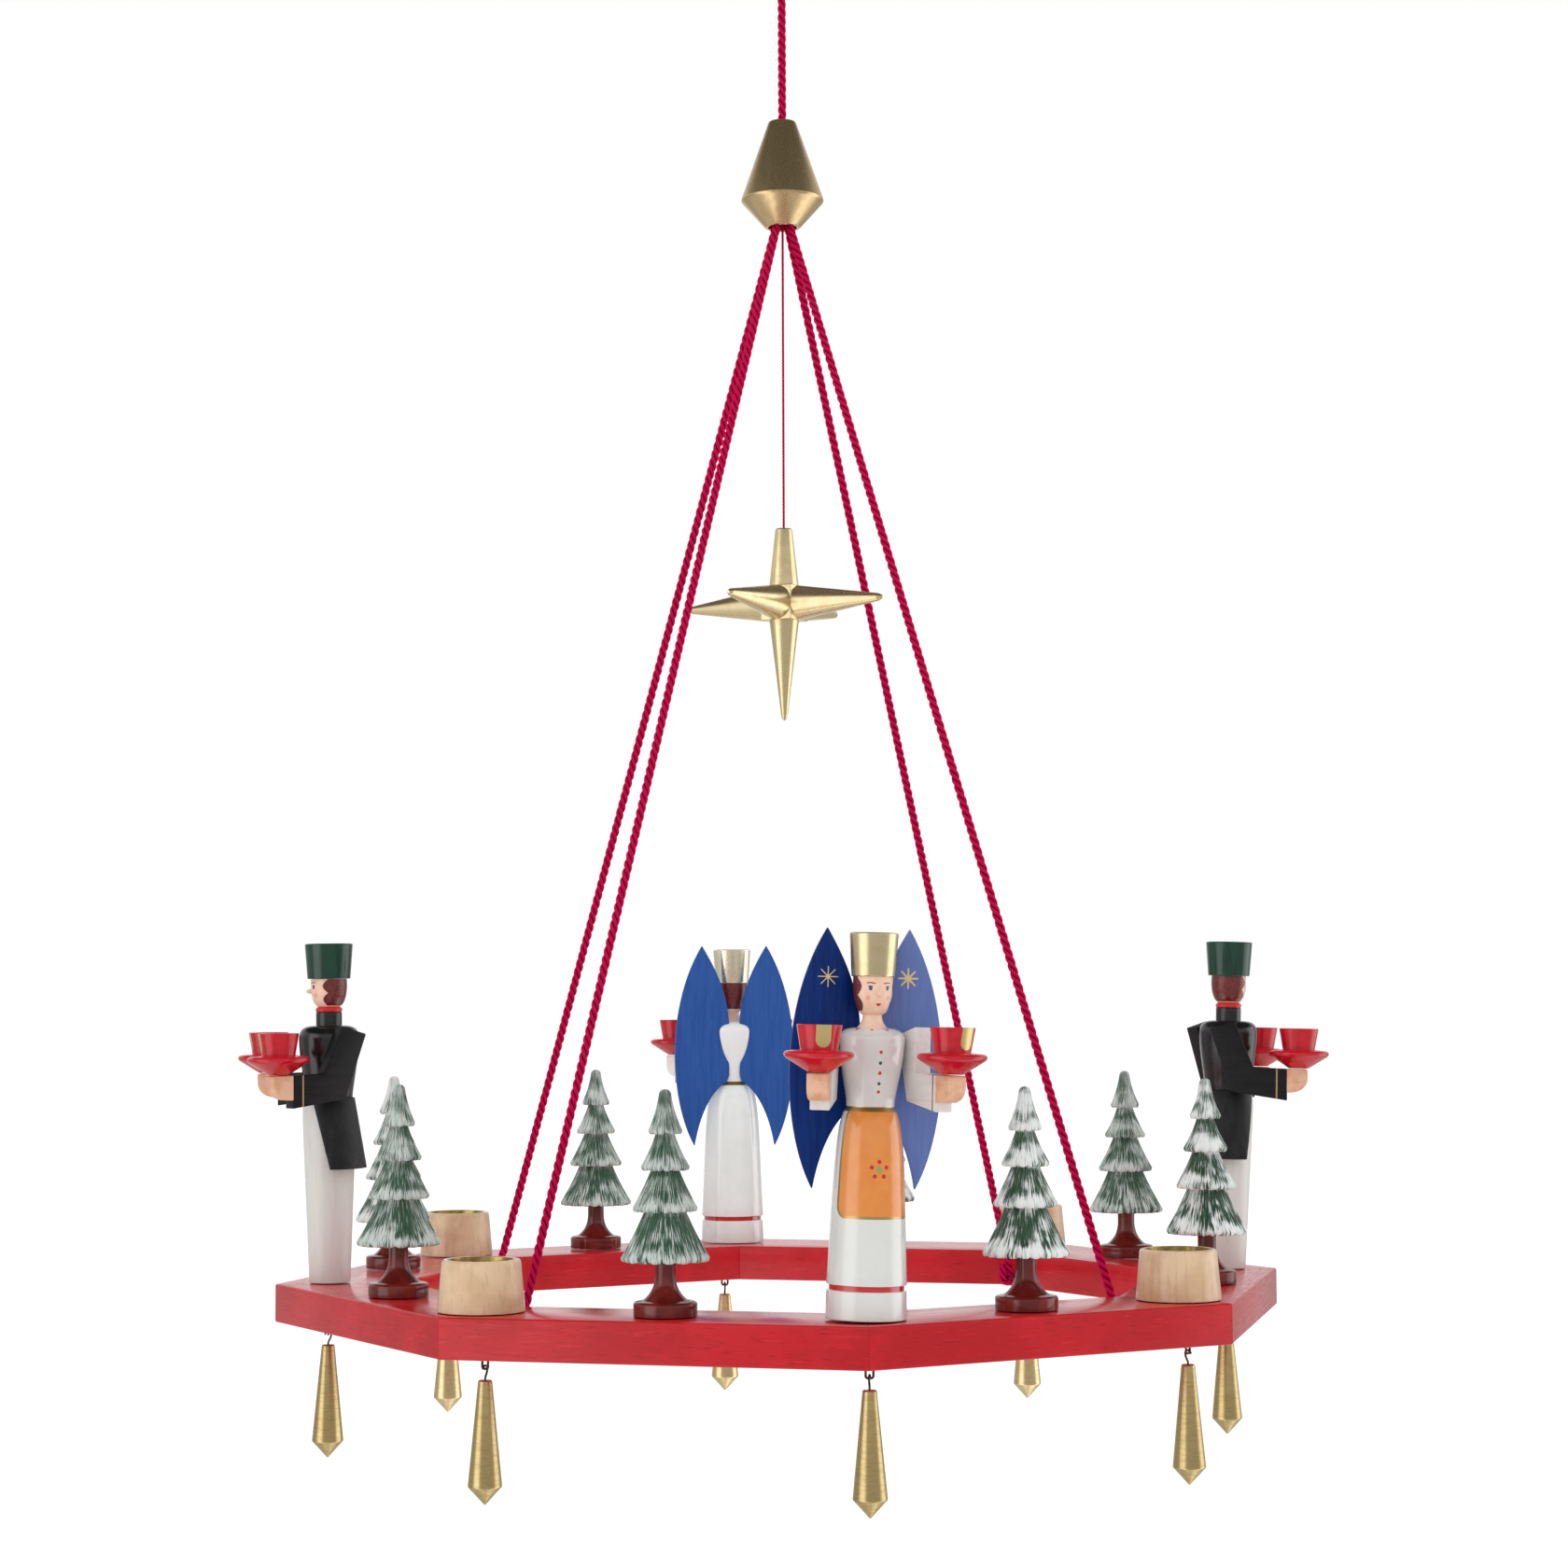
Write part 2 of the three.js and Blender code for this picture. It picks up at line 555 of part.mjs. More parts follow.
function minerProfile() {
  const m = MINER;
  const waist = [m.waistD / 2, m.waistZ];
  const shoulder = [m.shoulderD / 2, m.shoulderZ];
  const collar = [m.collarD / 2, m.collarZ];
  return [
    [0, 0], [m.footD / 2, 0], [m.hipD / 2, 0.86 * m.waistZ], [m.hipD / 2, 0.95 * m.waistZ], waist,
    ...sweepOf(waist, [waist[0] + 0.9, m.waistZ + 8], [shoulder[0] - 0.2, m.shoulderZ - 8], shoulder, 2),
    ...sweepOf(shoulder, [shoulder[0], m.collarZ - 1], [0.8 * shoulder[0], m.collarZ], collar, 3),
    [m.collarD / 2, m.neckZ], [0, m.neckZ],
  ];
}

function minerHead() {
  const m = MINER;
  const under = m.neckZ + GLUE_LINE;
  const chinZ = under + m.beadHeight;
  const head = m.headD / 2;
  return closedMesh(turned([
    [0, under], [0.93 * m.beadD / 2, under], [m.beadD / 2, under + 0.5 * m.beadHeight],
    [0.8 * m.beadD / 2, chinZ],
    ...sweepOf([0.8 * m.beadD / 2, chinZ], [0.9 * head, chinZ + 1], [1.04 * head, chinZ + 6], [0.97 * head, m.hatZ], 4),
    [m.hatFootD / 2, m.hatZ], [m.hatD / 2, m.topZ], [0, m.topZ],
  ], TURNED_SMALL));
}

// Leather apron of the miner: a flared half shell behind the hips
function backApron() {
  const top = MINER.waistZ - 0.4;
  const [waist, foot] = [MINER.waistD / 2 + 0.3, BACK_APRON_FOOT_D / 2];
  const shell = turned([
    [waist - 0.6, top], [foot - BACK_APRON_THICKNESS, BACK_APRON_FOOT_Z], [foot, BACK_APRON_FOOT_Z],
    [waist + 0.5, top], [waist - 0.6, top],
  ], TURNED_LARGE);
  const side = new THREE.Shape([
    [-BACK_APRON_FRONT_TOP, top + 1], [-BACK_APRON_FRONT_FOOT, BACK_APRON_FOOT_Z - 1],
    [2 * foot, BACK_APRON_FOOT_Z - 1], [2 * foot, top + 1],
  ].map(([y, z]) => new THREE.Vector2(y, z)));
  const back = board(side, 4 * foot).applyMatrix4(new THREE.Matrix4().makeBasis(
    new THREE.Vector3(0, 1, 0), new THREE.Vector3(0, 0, 1), new THREE.Vector3(1, 0, 0),
  ));
  return toSolid(shell).intersect(toSolid(back));
}

function figureBody(kind) {
  const figure = kind === 'angel' ? ANGEL : MINER;
  const shoulderTop = figure.shoulderZ + 5;
  const arms = [-1, 1].map((side) => armGeometry({ ...figure, shoulderTop }, side));
  const profile = kind === 'angel' ? angelProfile() : minerProfile();
  const whole = join([turned(profile, TURNED_LARGE), ...arms]);
  return fromSolid(kind === 'angel' ? whole : whole.add(backApron()));
}

for (const { corner, name, kind, turn, aside, out, leanAside, leanOut } of FIGURES) {
  const figure = new THREE.Group();
  const angel = kind === 'angel';
  const footD = angel ? ANGEL.baseD : MINER.footD;
  const lift = (footD / 2) * Math.sin(degrees(leanAside + leanOut));
  figure.position.set(aside, -CORNER_PIECE_RADIUS - out, GLUE_LINE + lift);
  figure.rotation.set(degrees(leanOut), degrees(leanAside), degrees(turn));
  turnedFrame(body, corner).add(figure);
  place(figure, `${name}_body`, figureBody(kind), angel ? WHITE_LACQUER : BLACK_LACQUER);
  place(figure, `${name}_head`, angel ? angelHead() : minerHead(), SKIN);
  const hand = (angel ? ANGEL : MINER).handTop + GLUE_LINE;
  for (const [hold, side] of [['right', -1], ['left', 1]]) {
    const holder = holderGeometry().translate(side * HAND_BESIDE, -HAND_FORWARD, hand);
    place(figure, `${name}_holder_${hold}`, holder, HOLDER_RED);
    if (angel) {
      place(figure, `${name}_wing_${hold}`, wingGeometry(side), WING_BLUE);
    }
  }
}

// Hub: a pocket from below holds the knots, a bore above lets the hanging cord through
const HUB_POCKET = CORD_SPREAD_AT_HUB + CORD_D / 2 + CLEARANCE;
const HUB_CEILING = HUB_BOTTOM + HUB_POCKET_DEPTH;
const HUB_BORE = CORD_D / 2 + CLEARANCE;
const widest = HUB_BOTTOM + HUB_WIDEST_ABOVE_BOTTOM;
place(body, 'hub', closedMesh(turned([
  [HUB_POCKET, HUB_BOTTOM], [HUB_BOTTOM_D / 2, HUB_BOTTOM], [HUB_D / 2 - 0.4 * HUB_EDGE, widest - HUB_EDGE / 2],
  [HUB_D / 2 - 0.2 * HUB_EDGE, widest + HUB_EDGE / 2], [HUB_TOP_D / 2, HUB_TOP - HUB_EDGE],
  [HUB_TOP_D / 2 - HUB_EDGE, HUB_TOP], [HUB_BORE, HUB_TOP], [HUB_BORE, HUB_CEILING],
  [HUB_POCKET, HUB_CEILING], [HUB_POCKET, HUB_BOTTOM],
], TURNED_LARGE)), GOLD);

// Hanging cord: a knot under the hub's bore, a straight run and a knotted loop
const KNOT_TOP = HUB_CEILING - CLEARANCE;
const KNOT_FOOT = KNOT_TOP - KNOT_HEIGHT;

function knot(diameter, height, under) {
  const r = diameter / 2;
  return turned([
    [0, under], [0.85 * r, under], [r, under + 0.25 * height], [r, under + 0.75 * height],
    [0.7 * r, under + height], [0, under + height],
  ], CORD_SIDES);
}

function loopPoints() {
  const crown = LOOP_WIDTH / 2 - CORD_D / 2;
  const centre = HANG_HEIGHT + CORD_D / 2 - crown;
  const arc = [-20, 10, 40, 65, 90, 115, 140, 170, 200].map((angle) => [
    crown * Math.cos(degrees(angle)), centre + crown * Math.sin(degrees(angle)),
  ]);
  return [[0.2 * crown, LOOP_KNOT], ...arc, [-0.2 * crown, LOOP_KNOT]].map(([x, z]) => new THREE.Vector3(x, 0, z));
}

const rise = [KNOT_FOOT + KNOT_HEIGHT / 2, HUB_TOP, LOOP_KNOT].map((z) => new THREE.Vector3(0, 0, z));
place(body, 'hanging_cord', fromSolid(join([
  swept(rise, CORD_D, CORD_SIDES), swept(loopPoints(), CORD_D, CORD_SIDES),
  knot(KNOT_D, KNOT_HEIGHT, KNOT_FOOT), knot(0.95 * KNOT_D, 1.2 * KNOT_HEIGHT, LOOP_KNOT - 0.6 * KNOT_HEIGHT),
])), CRIMSON);

// Suspension cords, from the pocket of the hub down between the bar of a staple and the rail that carries it
function cordGeometry({ rail, side }) {
  const turn = -(rail + 0.5) * STEP_ANGLE;
  const behindBar = new THREE.Vector3(side * CORD_BAR.x, CORD_BAR.y - (WIRE_D + CORD_D) / 2, CORD_BAR.z)
    .applyAxisAngle(new THREE.Vector3(0, 0, 1), turn);
  const outward = new THREE.Vector3(behindBar.x, behindBar.y, 0).normalize();
  const atHub = (spread, z) => outward.clone().multiplyScalar(spread).setZ(z);
  const mouth = atHub(CORD_SPREAD_AT_HUB, HUB_BOTTOM - 1);
  const run = [0.03, 0.5, 1].map((share) => mouth.clone().lerp(behindBar, share));
  const route = [
    atHub(0.85 * CORD_SPREAD_AT_HUB, KNOT_FOOT - CLEARANCE),
    atHub(0.92 * CORD_SPREAD_AT_HUB, HUB_BOTTOM + 5), mouth, ...run,
  ];
  const end = new THREE.SphereGeometry(0.5, 8, 4).rotateX(Math.PI / 2)
    .scale(CORD_END_THICKNESS, CORD_END_WIDTH, CORD_END_HEIGHT)
    .translate(side * CORD_BAR.x, CORD_BAR.y, CORD_BAR.z + 0.12 * CORD_END_HEIGHT)
    .rotateZ(turn);
  const clear = cordStaple(WIRE_D + 2 * CLEARANCE, side).rotateZ(turn);
  return fromSolid(join([swept(route, CORD_D, CORD_SIDES), end]).subtract(toSolid(clear)));
}

CORD_FIXINGS.forEach((fixing, i) => place(body, `suspension_cord_${i + 1}`, cordGeometry(fixing), CRIMSON));

// Star: rays on the six faces of a cube, hung on a thread glued into the upper one
const STAR_Z = HUB_BOTTOM - STAR_CENTRE_BELOW_HUB;
const STAR_HEAD = STAR_CORE / 2 + STAR_TOP_LENGTH;

function starGeometry() {
  const half = STAR_CORE / 2;
  const tip = STAR_RAY_TIP_D / 2;
  const ray = () => turned([
    [0, 0], [half, half - 0.01], [tip, STAR_REACH - tip], [0.6 * tip, STAR_REACH], [0, STAR_REACH],
  ], TURNED_SMALL);
  const rays = [0, 1, 2, 3].map((quarter) => ray().rotateX(Math.PI / 2).rotateZ((quarter * Math.PI) / 2));
  const head = turned([
    [0, 0], [STAR_TOP_BASE_D / 2, half - 0.01], [STAR_TOP_END_D / 2, STAR_HEAD - 0.5],
    [STAR_TOP_END_D / 2 - 0.5, STAR_HEAD], [0, STAR_HEAD],
  ], TURNED_SMALL);
  const footEnd = -half - STAR_FOOT_LENGTH;
  const foot = turned([
    [0, footEnd], [0.35 * STAR_FOOT_TIP_D, footEnd], [STAR_FOOT_TIP_D / 2, footEnd + 0.5 * STAR_FOOT_TIP_D],
    [STAR_TOP_BASE_D / 2, 0.01 - half], [0, 0],
  ], TURNED_SMALL);
  const core = new THREE.BoxGeometry(STAR_CORE, STAR_CORE, STAR_CORE);
  const hole = turned([
    [0, STAR_HEAD - THREAD_INTO_STAR - CLEARANCE],
    [THREAD_D / 2 + CLEARANCE, STAR_HEAD - THREAD_INTO_STAR - CLEARANCE],
    [THREAD_D / 2 + CLEARANCE, STAR_HEAD + 1], [0, STAR_HEAD + 1],
  ], CORD_SIDES);
  const star = join([core, ...rays, head, foot]).subtract(toSolid(hole));
  return fromSolid(star).rotateZ(degrees(STAR_TURN)).translate(0, 0, STAR_Z);
}

place(body, 'star', starGeometry(), GOLD);
const thread = [KNOT_FOOT - CLEARANCE, STAR_Z + STAR_HEAD - THREAD_INTO_STAR];
place(body, 'star_thread', swept(thread.map((z) => new THREE.Vector3(0, 0, z)), THREAD_D, CORD_SIDES), CRIMSON);

export default part;
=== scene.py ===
from functools import reduce
from math import atan2, cos, hypot, pi, radians, sin

import bpy
from mathutils import Matrix, Vector


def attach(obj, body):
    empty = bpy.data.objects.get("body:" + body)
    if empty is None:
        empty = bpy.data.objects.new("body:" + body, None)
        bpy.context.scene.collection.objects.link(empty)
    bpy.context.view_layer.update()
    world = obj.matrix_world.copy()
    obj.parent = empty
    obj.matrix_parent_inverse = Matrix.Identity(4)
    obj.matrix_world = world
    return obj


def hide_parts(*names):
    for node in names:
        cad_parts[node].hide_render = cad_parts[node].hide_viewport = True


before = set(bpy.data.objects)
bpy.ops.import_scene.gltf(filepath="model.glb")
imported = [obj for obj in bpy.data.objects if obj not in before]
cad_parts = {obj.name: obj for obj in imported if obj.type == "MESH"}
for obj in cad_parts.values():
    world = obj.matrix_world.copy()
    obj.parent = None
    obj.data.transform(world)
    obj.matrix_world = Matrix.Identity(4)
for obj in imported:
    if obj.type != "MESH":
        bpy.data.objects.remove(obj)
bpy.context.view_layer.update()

# Camera: it stands 1.27 m in front of the ring and a little above it.
# The lens is 73 mm long, on a 36 mm sensor, and looks slightly upward at the cords.
CAMERA_PLACE = (-0.1739, -1.2565, -0.4382)
CAMERA_VIEW = (0.13654, 0.98835, 0.06728)
CAMERA_ROLL = -0.0040
bpy.context.scene.view_settings.view_transform = "Standard"
bpy.ops.object.camera_add(location=CAMERA_PLACE)
camera = bpy.context.object
level_view = Vector(CAMERA_VIEW).to_track_quat("-Z", "Y").to_matrix()
camera.rotation_euler = (level_view @ Matrix.Rotation(CAMERA_ROLL, 3, "Z")).to_euler()
camera.data.lens = 72.95
camera.data.sensor_width = 36
bpy.context.scene.camera = camera

# Cords: three strands of crimson yarn laid together, 3.2 mm thick.
# Four carry the ring: each leaves the pocket of the hub and is turned round a staple inside the ring.
# One hangs the holder: it is knotted under the bore of the hub and tied into a loop above it.
MM = 0.001
LOOP_ABOVE_RING = 548
CORNER_STEP = 45
STRANDS = 3
YARN_POINTS_PER_TURN = 14
FRAYED_POINTS = 4
NEARBY_POINTS = 30
STRAND_JUMP = 3


def at(x, y, z):
    """Point given in mm, with its height counted from the top of the ring."""
    return Vector((x, y, z - LOOP_ABOVE_RING)) * MM


def rotated(degrees, axis="Z"):
    """Rotation about an axis."""
    return Matrix.Rotation(radians(degrees), 4, axis)


def on_ring(step, x=0.0, y=0.0, z=0.0, turn=0.0):
    """Place in mm in the frame of a corner (whole steps) or a rail (half steps); outward is -Y."""
    return rotated(-CORNER_STEP * step) @ Matrix.Translation(at(x, y, z)) @ rotated(turn)


def only(piece):
    """Selects this piece alone, for the operators that follow."""
    bpy.ops.object.select_all(action="DESELECT")
    piece.select_set(True)
    bpy.context.view_layer.objects.active = piece


def evenly(route, step):
    """Points along a route, about a step apart."""
    gone = [0.0]
    for start, end in zip(route, route[1:]):
        gone.append(gone[-1] + (end - start).length)
    count = max(2, round(gone[-1] / step))
    points = []
    leg = 0
    for i in range(count + 1):
        here = gone[-1] * i / count
        while leg < len(route) - 2 and gone[leg + 1] < here:
            leg += 1
        share = (here - gone[leg]) / (gone[leg + 1] - gone[leg])
        points.append(route[leg].lerp(route[leg + 1], share))
    return points


def meshed(name, lines, radius, resolution):
    """Mesh of round yarn or wire, its radius in mm, along lines of points in metres."""
    curve = bpy.data.curves.new(name, "CURVE")
    curve.dimensions = "3D"
    curve.bevel_depth = radius * MM
    curve.bevel_resolution = resolution
    curve.use_fill_caps = True
    for line in lines:
        spline = curve.splines.new("POLY")
        spline.points.add(len(line) - 1)
        for point, place in zip(spline.points, line):
            point.co = (*place, 1)
    piece = bpy.data.objects.new(name, curve)
    bpy.context.collection.objects.link(piece)
    only(piece)
    bpy.ops.object.convert(target="MESH")
    return piece


def laid(name, route, strand=0.79, lay=0.93, turn=10.4, frayed=0.0):
    """Cord of three strands twisted round a route in mm; frayed opens the strands at its end."""
    line = evenly(route, turn / YARN_POINTS_PER_TURN)
    last = len(line) - 1
    across = Vector((0.3, 1, 0.1))
    rings = []
    for i, point in enumerate(line):
        ahead = (line[min(i + 1, last)] - line[max(i - 1, 0)]).normalized()
        across = (across - ahead * across.dot(ahead)).normalized()
        rings.append((point, across.copy(), ahead.cross(across)))
    strands = [[] for number in range(STRANDS)]
    for number, places in enumerate(strands):
        for i, (point, sideways, beside) in enumerate(rings):
            angle = -2 * pi * (i / YARN_POINTS_PER_TURN + number / STRANDS)
            open_lay = lay * (1 + frayed * max(0, (i - last + FRAYED_POINTS) / FRAYED_POINTS))
            places.append(at(*(point + open_lay * (cos(angle) * sideways + sin(angle) * beside))))
    cord = meshed(name, strands, strand, 2)
    # How far each point lies out from the middle of the cord; the yarn is painted darker where it is small,
    # as painted shade between the strands.
    depth = []
    close = 0
    centre = [at(*point) for point in line]
    for vertex in cord.data.vertices:
        nearby = range(max(0, close - NEARBY_POINTS), min(last, close + NEARBY_POINTS) + 1)
        close = min(nearby, key=lambda i: (vertex.co - centre[i]).length_squared)
        # The next strand starts at the other end of the line
        if (vertex.co - centre[close]).length > STRAND_JUMP * MM:
            close = min(range(last + 1), key=lambda i: (vertex.co - centre[i]).length_squared)
        ahead = (centre[min(close + 1, last)] - centre[max(close - 1, 0)]).normalized()
        offset = vertex.co - centre[close]
        depth.append((offset - ahead * offset.dot(ahead)).length / MM / (strand + lay))
    cord.data.attributes.new("yarn_depth", "FLOAT", "POINT").data.foreach_set("value", depth)
    bpy.ops.object.shade_smooth()
    return cord


def colour(red, green, blue):
    """Colour read off the paint, 0 to 255, made linear for the shader."""
    shares = [value / 255 for value in (red, green, blue)]
    return (*[s / 12.92 if s <= 0.04045 else ((s + 0.055) / 1.055) ** 2.4 for s in shares], 1)


def fill(node, inputs):
    """Sets the inputs of a node, or links them to values that vary over the surface."""
    for socket, value in inputs.items():
        if isinstance(value, bpy.types.NodeSocket):
            node.id_data.links.new(value, node.inputs[socket])
        else:
            node.inputs[socket].default_value = value


def put(tree, kind, inputs, **settings):
    """New node of a kind, with its settings made and its inputs filled or linked."""
    made = tree.nodes.new("ShaderNode" + kind)
    for key, setting in settings.items():
        setattr(made, key, setting)
    fill(made, inputs)
    return made


def tree_of(values):
    """Node tree that the values come from, among which there may be plain numbers."""
    return next(value.id_data for value in values if isinstance(value, bpy.types.NodeSocket))


def vector(operation, *terms):
    """What an operation makes of places or directions."""
    made = put(tree_of(terms), "VectorMath", dict(enumerate(terms)), operation=operation)
    return made.outputs["Value" if operation == "LENGTH" else "Vector"]


def between(value, low, high, start=0.0, end=1.0):
    """Value eased from start to end as it goes from low to high."""
    inputs = {"Value": value, "From Min": low, "From Max": high, "To Min": start, "To Max": end}
    return put(value.id_data, "MapRange", inputs, interpolation_type="SMOOTHSTEP").outputs["Result"]


def layered(below, *layers):
    """Colours laid one over another, each where its mask is; plain colours run from 0 to 255."""
    for above, mask in layers:
        two = [colour(*paint) if isinstance(paint, tuple) else paint for paint in (below, above)]
        below = put(mask.id_data, "Mix", {0: mask, 6: two[0], 7: two[1]}, data_type="RGBA").outputs[2]
    return below


def noise(place, scale, detail, roughness=0.55):
    """Uneven value from 0 to 1 over a place in mm."""
    inputs = {"Vector": place, "Scale": scale, "Detail": detail, "Roughness": roughness}
    return put(place.id_data, "TexNoise", inputs).outputs["Fac"]


def attribute(shader, name, output="Vector"):
    """What the mesh keeps under a name."""
    return put(shader.id_data, "Attribute", {}, attribute_name=name).outputs[output]


def new_finish(name, roughness=0.5, metallic=0.0, coat=0.0, specular=0.5):
    """Material and its shader."""
    material = bpy.data.materials.new(name)
    material.use_nodes = True
    shader = material.node_tree.nodes["Principled BSDF"]
    fill(shader, {"Roughness": roughness, "Metallic": metallic, "Specular IOR Level": specular,
                  "Coat Weight": coat, "Coat Roughness": 0.08})
    return material, shader


def bump(height, depth):
    """Normal of a relief of so many mm."""
    inputs = {"Strength": 1.0, "Distance": depth * MM, "Height": height}
    return put(height.id_data, "Bump", inputs).outputs["Normal"]


crimson_yarn, shader = new_finish("crimson yarn", roughness=0.8, specular=0.12)
in_metres = put(shader.id_data, "TexCoord", {}).outputs["Object"]
fibre = noise(vector("MULTIPLY", in_metres, (1000, 1000, 1000)), 2.6, 4.0)
# The yarn is painted darker deep in the lay between the strands, as painted shade, and lighter where the
# fibre relief stands highest, as a painted highlight.
yarn_colour = layered(
    (96, 0, 42),
    ((198, 0, 72), between(attribute(shader, "yarn_depth", "Fac"), 0.45, 0.95)),
    ((230, 26, 102), between(fibre, 0.55, 0.8, 0, 0.4)),
)
fill(shader, {"Base Color": yarn_colour, "Normal": bump(fibre, 0.09), "Sheen Weight": 0.02,
              "Sheen Roughness": 0.4, "Sheen Tint": colour(255, 90, 130)})


def finished_cord(cord, node, body):
    """Cord with its yarn, standing for a CAD node."""
    cord.data.materials.clear()
    cord.data.materials.append(crimson_yarn)
    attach(cord, body)
    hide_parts(node)


def coil(radius, foot, rise, steps):
    """Route wound round the hanging cord, which turns by a sixth of a radian at each step."""
    turns = [step / 6 for step in range(steps)]
    return [Vector((radius * cos(a), radius * sin(a), foot + rise * a)) for a in turns]


STAPLE_BAR = Vector((46.394, -136.826, -10.5))
CORD_TURN = 2.12
TURN_FROM = 0.985
RUN_STEPS = 20
CORD_TAIL = 5.4
POCKET_TOP = 437.1
# Distance from the axis and height of a cord inside the hub, down to the mouth of the pocket
IN_HUB = [(3.315, POCKET_TOP), (3.59, 425.7), (3.9, 419.7)]
# Rails that carry a cord, with the side of the rail's middle on which its staple sits
CORD_FIXINGS = [(1, 1), (2, -1), (5, 1), (6, -1)]
for i, (rail_number, side) in enumerate(CORD_FIXINGS):
    to_rail = rotated(-CORNER_STEP * (rail_number + 0.5))
    bar = to_rail @ Vector((side * STAPLE_BAR.x, STAPLE_BAR.y, STAPLE_BAR.z))
    to_wood = to_rail @ Vector((0, -1, 0))
    behind_bar = bar + CORD_TURN * to_wood
    outward = Vector((behind_bar.x, behind_bar.y, 0)).normalized()
    route = [outward * distance + Vector((0, 0, height)) for distance, height in IN_HUB]
    mouth = route.pop()
    above_bar = mouth.lerp(behind_bar + Vector((0, 0, 1)), TURN_FROM)
    route += [mouth.lerp(above_bar, step / RUN_STEPS) for step in range(RUN_STEPS + 1)]
    for angle in range(0, 181, 20):
        swing = radians(angle)
        route.append(bar + CORD_TURN * (cos(swing) * to_wood - Vector((0, 0, sin(swing)))))
    route.append(bar - CORD_TURN * to_wood + Vector((0, 0, CORD_TAIL)))
    name = f"carrying_cord_{i + 1}"
    cord = laid(name, route, frayed=0.35)
    finished_cord(cord, f"suspension_cord_{i + 1}", "frame")

LOOP_KNOT = 521.6
LOOP_CENTRE = 541.2
LOOP_RADIUS = 8.4
run = [Vector((0, 0, z)) for z in (441, 464.4, LOOP_KNOT - 1)]
hanger = laid("hanger_cord", run)
loop = [Vector((1.7, 0, LOOP_KNOT - 2))]
for angle in range(-20, 201, 11):
    swing = radians(angle)
    loop.append(Vector((LOOP_RADIUS * cos(swing), 0, LOOP_CENTRE + LOOP_RADIUS * sin(swing))))
loop.append(Vector((-1.7, 0, LOOP_KNOT - 2)))
hanger_loop = laid("hanger_loop", loop)
hanger_knot = laid("hanger_knot", coil(2.38, LOOP_KNOT - 2.6, 0.83, 41))
hub_knot = laid("hub_knot", coil(2.6, 439, 0.6, 34), frayed=0.3)
for cord in (hanger, hanger_loop, hanger_knot, hub_knot):
    finished_cord(cord, "hanging_cord", "hanger")

# Thread of the star: fine red yarn, 1 mm thick.
# It hangs straight from the knots inside the hub and is glued into the head of the star.
thread_run = [Vector((0, 0, POCKET_TOP)), Vector((0, 0, 294))]
thread = laid("thread_of_star", thread_run, strand=0.26, lay=0.24, turn=3.6)
finished_cord(thread, "star_thread", "thread")

# Hub: a double cone turned from one piece of wood and painted gold.
# A pocket from below takes the knots, and a bore above lets the hanging cord through.
GRAIN_SHIFT = 61.3


def eased(profile):
    """Profile of [radius, height] whose corners are rounded by their third number, where they have one."""
    smooth_line = []
    for i, point in enumerate(profile):
        here = Vector(point[:2])
        if len(point) == 2:
            smooth_line.append(tuple(here))
            continue
        ends = []
        for beside in (profile[i - 1], profile[i + 1]):
            way = Vector(beside[:2]) - here
            ends.append(here + way.normalized() * min(point[2], 0.48 * way.length))
        for share in (0, 0.25, 0.5, 0.75, 1):
            smooth_line.append(tuple(ends[0].lerp(here, share).lerp(here.lerp(ends[1], share), share)))
    return smooth_line


def added(add, **settings):
    """Mesh that an operator adds, with its place and size taken into its points."""
    add(**settings)
    bpy.ops.object.transform_apply(location=True, rotation=True, scale=True)
    return bpy.context.object


def face_outward():
    """Ends the editing of a mesh with all its faces turned outward."""
    bpy.ops.mesh.select_all(action="SELECT")
    bpy.ops.mesh.normals_make_consistent(inside=False)
    bpy.ops.object.mode_set(mode="OBJECT")


def smooth(degrees):
    """Shades the piece smoothly, apart from edges that are sharper than this."""
    bpy.ops.object.shade_smooth_by_angle(angle=radians(degrees))


def turned(name, profile, sides=64, sharp=32):
    """Piece turned on a lathe: each ring of the profile, in mm, from its foot to its top."""
    rings = eased(profile)
    radius, height = rings[0]
    piece = added(bpy.ops.mesh.primitive_circle_add, vertices=sides, radius=radius * MM, fill_type="NGON",
                  location=(0, 0, height * MM))
    piece.name = name
    bpy.ops.object.mode_set(mode="EDIT")
    for (below, low), (above, high) in zip(rings, rings[1:]):
        bpy.ops.mesh.extrude_region_move(TRANSFORM_OT_translate={"value": (0, 0, (high - low) * MM)})
        share = above / below
        bpy.ops.transform.resize(value=(share, share, 1), center_override=(0, 0, high * MM))
    face_outward()
    smooth(sharp)
    return piece


def fitted(model, name, place, finish, node, body="frame", number=0):
    """Fits a copy of a model in its place, for a CAD node; it keeps its own mm for paint and grain."""
    piece = model.copy()
    piece.data = model.data.copy()
    piece.name = name
    bpy.context.collection.objects.link(piece)
    mesh = piece.data
    own = [value / MM for vertex in mesh.vertices for value in vertex.co]
    shifted = [value + GRAIN_SHIFT * number for value in own]
    mesh.attributes.new("paint_mm", "FLOAT_VECTOR", "POINT").data.foreach_set("vector", own)
    mesh.attributes.new("grain_mm", "FLOAT_VECTOR", "POINT").data.foreach_set("vector", shifted)
    mesh.transform(place)
    mesh.materials.clear()
    mesh.materials.append(finish)
    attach(piece, body)
    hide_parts(node)


def discard(*models):
    """Takes models away once their copies are in place."""
    for model in models:
        bpy.data.objects.remove(model)


